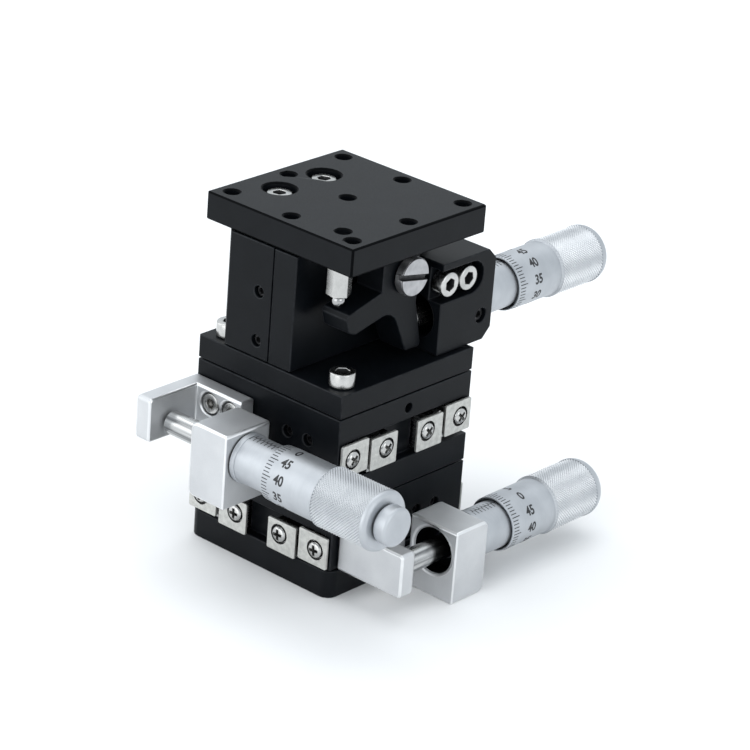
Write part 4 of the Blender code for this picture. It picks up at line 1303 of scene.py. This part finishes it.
def flat_digits(label):
    """Solid digits in the flat, as thick as the ink."""
    size = number_height / DIGIT_HEIGHT_SHARE
    curve = bpy.data.curves.new("digits", "FONT")
    curve.body = label
    curve.size = size
    curve.offset = DIGIT_WEIGHT_SHARE * size
    curve.extrude = (ink_depth + ink_proud) / 2
    curve.align_x = "CENTER"
    curve.align_y = "CENTER"
    drawn = bpy.data.objects.new("digits", curve)
    bpy.context.scene.collection.objects.link(drawn)
    bpy.context.view_layer.update()
    graph = bpy.context.evaluated_depsgraph_get()
    mesh = bpy.data.meshes.new_from_object(drawn.evaluated_get(graph))
    bpy.data.objects.remove(drawn)
    return mesh


def wrap_digits(shape, radius, angle, height):
    """Bends flat digits round a barrel."""
    cuts = math.ceil(number_height / number_strip)
    for number in range(-cuts, cuts + 1):
        everything = [*shape.verts, *shape.edges, *shape.faces]
        bmesh.ops.bisect_plane(shape, geom=everything, plane_co=(0, number * number_strip / 2, 0),
                               plane_no=(0, 1, 0))
    middle = radius + (ink_proud - ink_depth) / 2
    for vert in shape.verts:
        turn = angle - vert.co.y / radius
        far = middle + vert.co.z
        along_axis = height + DIGIT_WIDTH_SHARE * vert.co.x
        vert.co = (far * math.cos(turn), far * math.sin(turn), along_axis)


number_count = division_count // divisions_per_number
for name in heads:
    numbers = bmesh.new()
    for number in range(number_count):
        mesh = flat_digits(str(number * divisions_per_number))
        digits = bmesh.new()
        digits.from_mesh(mesh)
        angle = head_zero[name] - number * divisions_per_number * division
        wrap_digits(digits, barrel_r, angle, number_centre[name])
        digits.to_mesh(mesh)
        digits.free()
        numbers.from_mesh(mesh)
        bpy.data.meshes.remove(mesh)
    bmesh.ops.remove_doubles(numbers, verts=numbers.verts, dist=0.1 * WELD)
    numbers.transform(head_matrices[name])
    piece = from_bmesh(name + "_thimble_numbers", numbers)
    finish_piece(piece, ink, name + "_thimble_body")
print(number_count, "numbers on each thimble")

# %% [markdown]
# ## Pin, ball and pivot
# The lift pin is a hexagon with a pressed ball under it, and the crank pushes on the
# ball. Both come from one stack of rings, and the ball gets a polished slot of its own.
# The crank turns on a big slotted screw. Its slot is cut out of a turned head with a
# Boolean, because a straight slot through a round head is no stack of rings.

# %% Turn the lift pin and its ball
PIN_TURN = math.radians(51)
pin_flats = 4.5 * MM
pin_chamfer = 0.25 * MM
ball_r = 1.5 * MM
ball_show = 2.6 * MM
pin_thread_r = 1.25 * MM
pin_thread_l = 5.0 * MM
BALL_LOW = -88
BALL_STEPS = 20


def pin_reach(angle):
    """The pin's hexagon, turned the way the photograph shows it."""
    return hexagon_reach(angle - PIN_TURN + math.pi / 6)


pin_low, pin_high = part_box("lift_pin")
pin_place = (pin_low + pin_high) / 2
pin_bottom = pin_low[2] + ball_show
pin_top = pin_high[2] - pin_thread_l
ball_middle = pin_low[2] + ball_r
ball_top = math.degrees(math.asin((pin_bottom - ball_middle) / ball_r))
ball_rings = [(circle_reach, radius, height) for radius, height in
              arc_points((0, ball_middle), ball_r, BALL_LOW, ball_top, BALL_STEPS)]
pin_rings = [
    *ball_rings,
    (circle_reach, pin_flats / 2 - pin_chamfer, pin_bottom),
    (pin_reach, pin_flats / 2, pin_bottom + pin_chamfer),
    (pin_reach, pin_flats / 2, pin_top - pin_chamfer),
    (circle_reach, pin_flats / 2 - pin_chamfer, pin_top),
    (circle_reach, pin_thread_r, pin_top),
    (circle_reach, pin_thread_r, pin_high[2]),
]
pin_shape = stack_rings(pin_rings)
bmesh.ops.translate(pin_shape, vec=(pin_place[0], pin_place[1], 0), verts=pin_shape.verts)
pin = stand_for(from_bmesh("lift_pin_dressed", pin_shape), steel, "lift_pin")
# The ball takes the darker polished finish, which paints its dark reflection.
pin.data.materials.append(polished)
for face in pin.data.polygons:
    face.material_index = int(face.center.z < pin_bottom)
print("lift pin", round((pin_high[2] - pin_low[2]) / MM, 1), "mm long")

# %% Cut the slot of the pivot screw
SLOT_TILT = math.radians(-11)
slot_w = 1.1 * MM
slot_depth = 0.9 * MM
pivot_head_t = 2.1 * MM
pivot_shank_r = 2.0 * MM
pivot_low, pivot_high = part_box("crank_pivot_screw")
pivot_middle = (pivot_low + pivot_high) / 2
pivot_head_r = (pivot_high[2] - pivot_low[2]) / 2
pivot_seat = pivot_high[0] - pivot_head_t
pivot_rings = [
    (circle_reach, pivot_shank_r, pivot_low[0]),
    (circle_reach, pivot_shank_r, pivot_seat),
    (circle_reach, pivot_head_r - fine_edge, pivot_seat),
    (circle_reach, pivot_head_r, pivot_seat + fine_edge),
    (circle_reach, pivot_head_r, pivot_high[0] - 3 * fine_edge),
    (circle_reach, pivot_head_r - fine_edge, pivot_high[0] - fine_edge),
    (circle_reach, pivot_head_r - 3 * fine_edge, pivot_high[0]),
]
pivot_turn = Matrix(((0, 0, 1), (1, 0, 0), (0, 1, 0))).to_4x4()
pivot_shape = stack_rings(pivot_rings, ROUND_SIDES)
pivot_shape.transform(Matrix.Translation((0, pivot_middle[1], pivot_middle[2])) @ pivot_turn)
pivot = from_bmesh("crank_pivot_screw_dressed", pivot_shape)
pivot.data.materials.append(pivot_steel)
slot_shape = bmesh.new()
bmesh.ops.create_cube(slot_shape, size=1)
bmesh.ops.scale(slot_shape, vec=(2 * slot_depth, 3 * pivot_head_r, slot_w), verts=slot_shape.verts)
slot_shape.transform(Matrix.Translation((pivot_high[0], pivot_middle[1], pivot_middle[2]))
                     @ Matrix.Rotation(SLOT_TILT, 4, "X"))
slot = from_bmesh("slot_cutter", slot_shape)
# The cutter's black oxide passes to the slot's faces: painted shade in the slot.
slot.data.materials.append(black_oxide_and_shade)
slotted = pivot.modifiers.new("slot", "BOOLEAN")
slotted.object = slot
slotted.solver = "EXACT"
slotted.material_mode = "TRANSFER"
bake(pivot)
bpy.data.objects.remove(slot)
pivot.data.shade_smooth()
pivot.data.set_sharp_from_angle(angle=SMOOTH_ANGLE)
break_edges(pivot, fine_edge)
stand_for(pivot, pivot_steel, "crank_pivot_screw")
print("pivot head radius", round(pivot_head_r / MM, 2), "mm")

# %% [markdown]
# ## Screws of the flanges and the preload holes
# The flanges of the silver blocks have the same small socket screws as the brackets.
# Black grub screws, which press the rails together, stand a little below the faces of
# the tables and the column, and one more clamps the sleeve of the lift head.

# %% Set the flange screws
flange_t = 3.4 * MM
plate_gap = 0.3 * MM
flange_places = (2.9 * MM, 8.4 * MM)
x_low, x_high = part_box("x_micrometer_block")
y_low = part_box("y_micrometer_block")[0]
flange_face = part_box("x_base")[1][1] + plate_gap + flange_t
block_l = 10.0 * MM
foot_middle = 2.7 * MM
flange_seats = {
    "x": [((x_high[0] - block_l - place, -flange_face, x_low[2] + foot_middle), (0, -1, 0))
          for place in flange_places],
    "y": [((flange_face, y_low[1] + block_l + place, y_low[2] + foot_middle), (1, 0, 0))
          for place in flange_places],
}
for name, seats in flange_seats.items():
    set_screws(name + "_flange_screws", small_rings, seats, steel,
               body_of(name + "_micrometer_block"))
print(len(flange_places), "screws on each flange")

# %% Set the grub screws
grub_r = 1.2 * MM
grub_flats = 1.3 * MM
grub_l = 3.0 * MM
grub_sink = 0.9 * MM
table_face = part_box("x_table")[1][1] - grub_sink
grub_places = (5.9 * MM, 11.5 * MM)
grub_drop = 1.7 * MM
column_grub_x = -4.3 * MM
column_grub_places = (-8.8 * MM, 1.9 * MM)
lift_middle = (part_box("lift_column")[0][2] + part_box("lift_column")[1][2]) / 2
grub_seats = {
    "x_table": [((place, -table_face, table_floor["x"] - grub_drop), (0, -1, 0))
                for place in grub_places],
    "y_table": [((table_face, place, table_floor["y"] - grub_drop), (1, 0, 0))
                for place in grub_places],
    "lift_column": [((column_grub_x, -table_face, lift_middle + place), (0, -1, 0))
                    for place in column_grub_places],
}
for name, seats in grub_seats.items():
    set_screws(name + "_grub_screws", grub_screw_rings(grub_r, grub_flats, grub_l), seats,
               black_oxide_and_shade, body_of(name))
print(sum(len(seats) for seats in grub_seats.values()), "grub screws")

# %% Set the screw that clamps the lift head
clamp_r = 1.55 * MM
clamp_flats = 1.5 * MM
clamp_l = 3.5 * MM
clamp_y = 13.2 * MM
clamp_z = 5.6 * MM
block_low, block_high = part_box("lift_micrometer_block")
clamp_place = (block_high[0] - grub_sink, block_low[1] + clamp_y, block_low[2] + clamp_z)
set_screws("lift_clamp_screw", grub_screw_rings(clamp_r, clamp_flats, clamp_l),
           [(clamp_place, (1, 0, 0))], black_oxide_and_shade, body_of("lift_micrometer_block"))
print("clamp screw at", [round(side / MM, 1) for side in clamp_place], "mm")

# %% [markdown]
# ## The camera
# The camera stands where the photographer stood: its angles were fitted to corners of
# the object whose sizes are known. A long lens keeps the edges almost parallel.

# %% Camera at the photograph's angle
view_azimuth = math.radians(40.53)
view_elevation = math.radians(23.97)
view_roll = math.radians(4.49)
view_lens = 159.9
view_place = Vector((414.53 * MM, -472.09 * MM, 317.70 * MM))
SENSOR_WIDTH = 36
NEAREST = 0.01
FARTHEST = 10


def aim_camera():
    """Axes of the camera from its azimuth, elevation and roll."""
    back = Vector((math.sin(view_azimuth) * math.cos(view_elevation),
                   -math.cos(view_azimuth) * math.cos(view_elevation), math.sin(view_elevation)))
    level = Vector((math.cos(view_azimuth), math.sin(view_azimuth), 0))
    rise = back.cross(level)
    right = math.cos(view_roll) * level + math.sin(view_roll) * rise
    above = math.cos(view_roll) * rise - math.sin(view_roll) * level
    return Matrix((right, above, back)).transposed()


camera_data = bpy.data.cameras.new("camera")
camera_data.lens = view_lens
camera_data.sensor_width = SENSOR_WIDTH
camera_data.clip_start = NEAREST
camera_data.clip_end = FARTHEST
camera = bpy.data.objects.new("camera", camera_data)
camera.location = view_place
camera.rotation_euler = aim_camera().to_euler()
bpy.context.scene.collection.objects.link(camera)
bpy.context.scene.camera = camera
print("camera stands", round(view_place.length, 2), "m from the middle of the base")

# %% [markdown]
# ## Floor and soft light
# Light comes from four large soft panels and a pale sky, so that black faces show
# long gentle reflections and the satin metal stays bright. The floor is plain and
# almost white, and so large that its edge never shows.

# %% Lay the floor
floor_half = 4.0
floor_shape = bmesh.new()
bmesh.ops.create_grid(floor_shape, x_segments=1, y_segments=1, size=floor_half)
floor = from_bmesh("studio_floor", floor_shape)
floor_material = make_finish("floor_finish", (0.88, 0.88, 0.88), (0.90, 0.90, 0.90), 0.0,
                             (0.85, 0.95), 2 * MM, 0.001 * MM, 80 * MM)
floor.data.materials.append(floor_material)
floor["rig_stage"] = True
print("floor is", 2 * floor_half, "m wide")

# %% Hang the panels
STAGE_MIDDLE = Vector((0, 0, 0.035))
panels = {  # place in metres, width in metres, power in watts
    "overhead_panel": ((-0.2, 0.1, 0.9), 0.9, 3.0),
    "left_panel": ((-0.8, -0.6, 0.4), 0.8, 2.0),
    "front_panel": ((0.0, -1.2, 0.35), 1.0, 4.0),
    "right_panel": ((0.9, -0.1, 0.45), 0.6, 1.5),
}


def add_panel(name, place, size, power):
    """A square soft light that faces the stage."""
    light = bpy.data.lights.new(name, "AREA")
    light.shape = "SQUARE"
    light.size = size
    light.energy = power
    panel = bpy.data.objects.new(name, light)
    panel.location = place
    panel.rotation_euler = (STAGE_MIDDLE - panel.location).to_track_quat("-Z", "Y").to_euler()
    bpy.context.scene.collection.objects.link(panel)


for name, (place, size, power) in panels.items():
    add_panel(name, place, size, power)
print(len(panels), "panels")

# %% Fill the shade with a pale sky
sky_colour = (0.90, 0.955, 1.0, 1)
sky_strength = 1.0
world = bpy.data.worlds.new("studio")
world.use_nodes = True
background = world.node_tree.nodes["Background"]
background.inputs["Color"].default_value = sky_colour
background.inputs["Strength"].default_value = sky_strength
bpy.context.scene.world = world
bpy.context.scene.view_settings.view_transform = "Standard"
print("sky strength", sky_strength)

# %% [markdown]
# ## Compare the dressed part with the frame
# Dressing must not change the size of the part. Only what really stands proud, such
# as the head of a screw, may reach past the frame's box, and by very little.

# %% Write the boxes and finish
visual_box = [list(corner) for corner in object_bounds()]
for axis, letter in enumerate("XYZ"):
    cad_size = cad_box[1][axis] - cad_box[0][axis]
    visual_size = visual_box[1][axis] - visual_box[0][axis]
    print(letter, "side: frame", round(cad_size / MM, 2), "mm, dressed",
          round(visual_size / MM, 2), "mm")
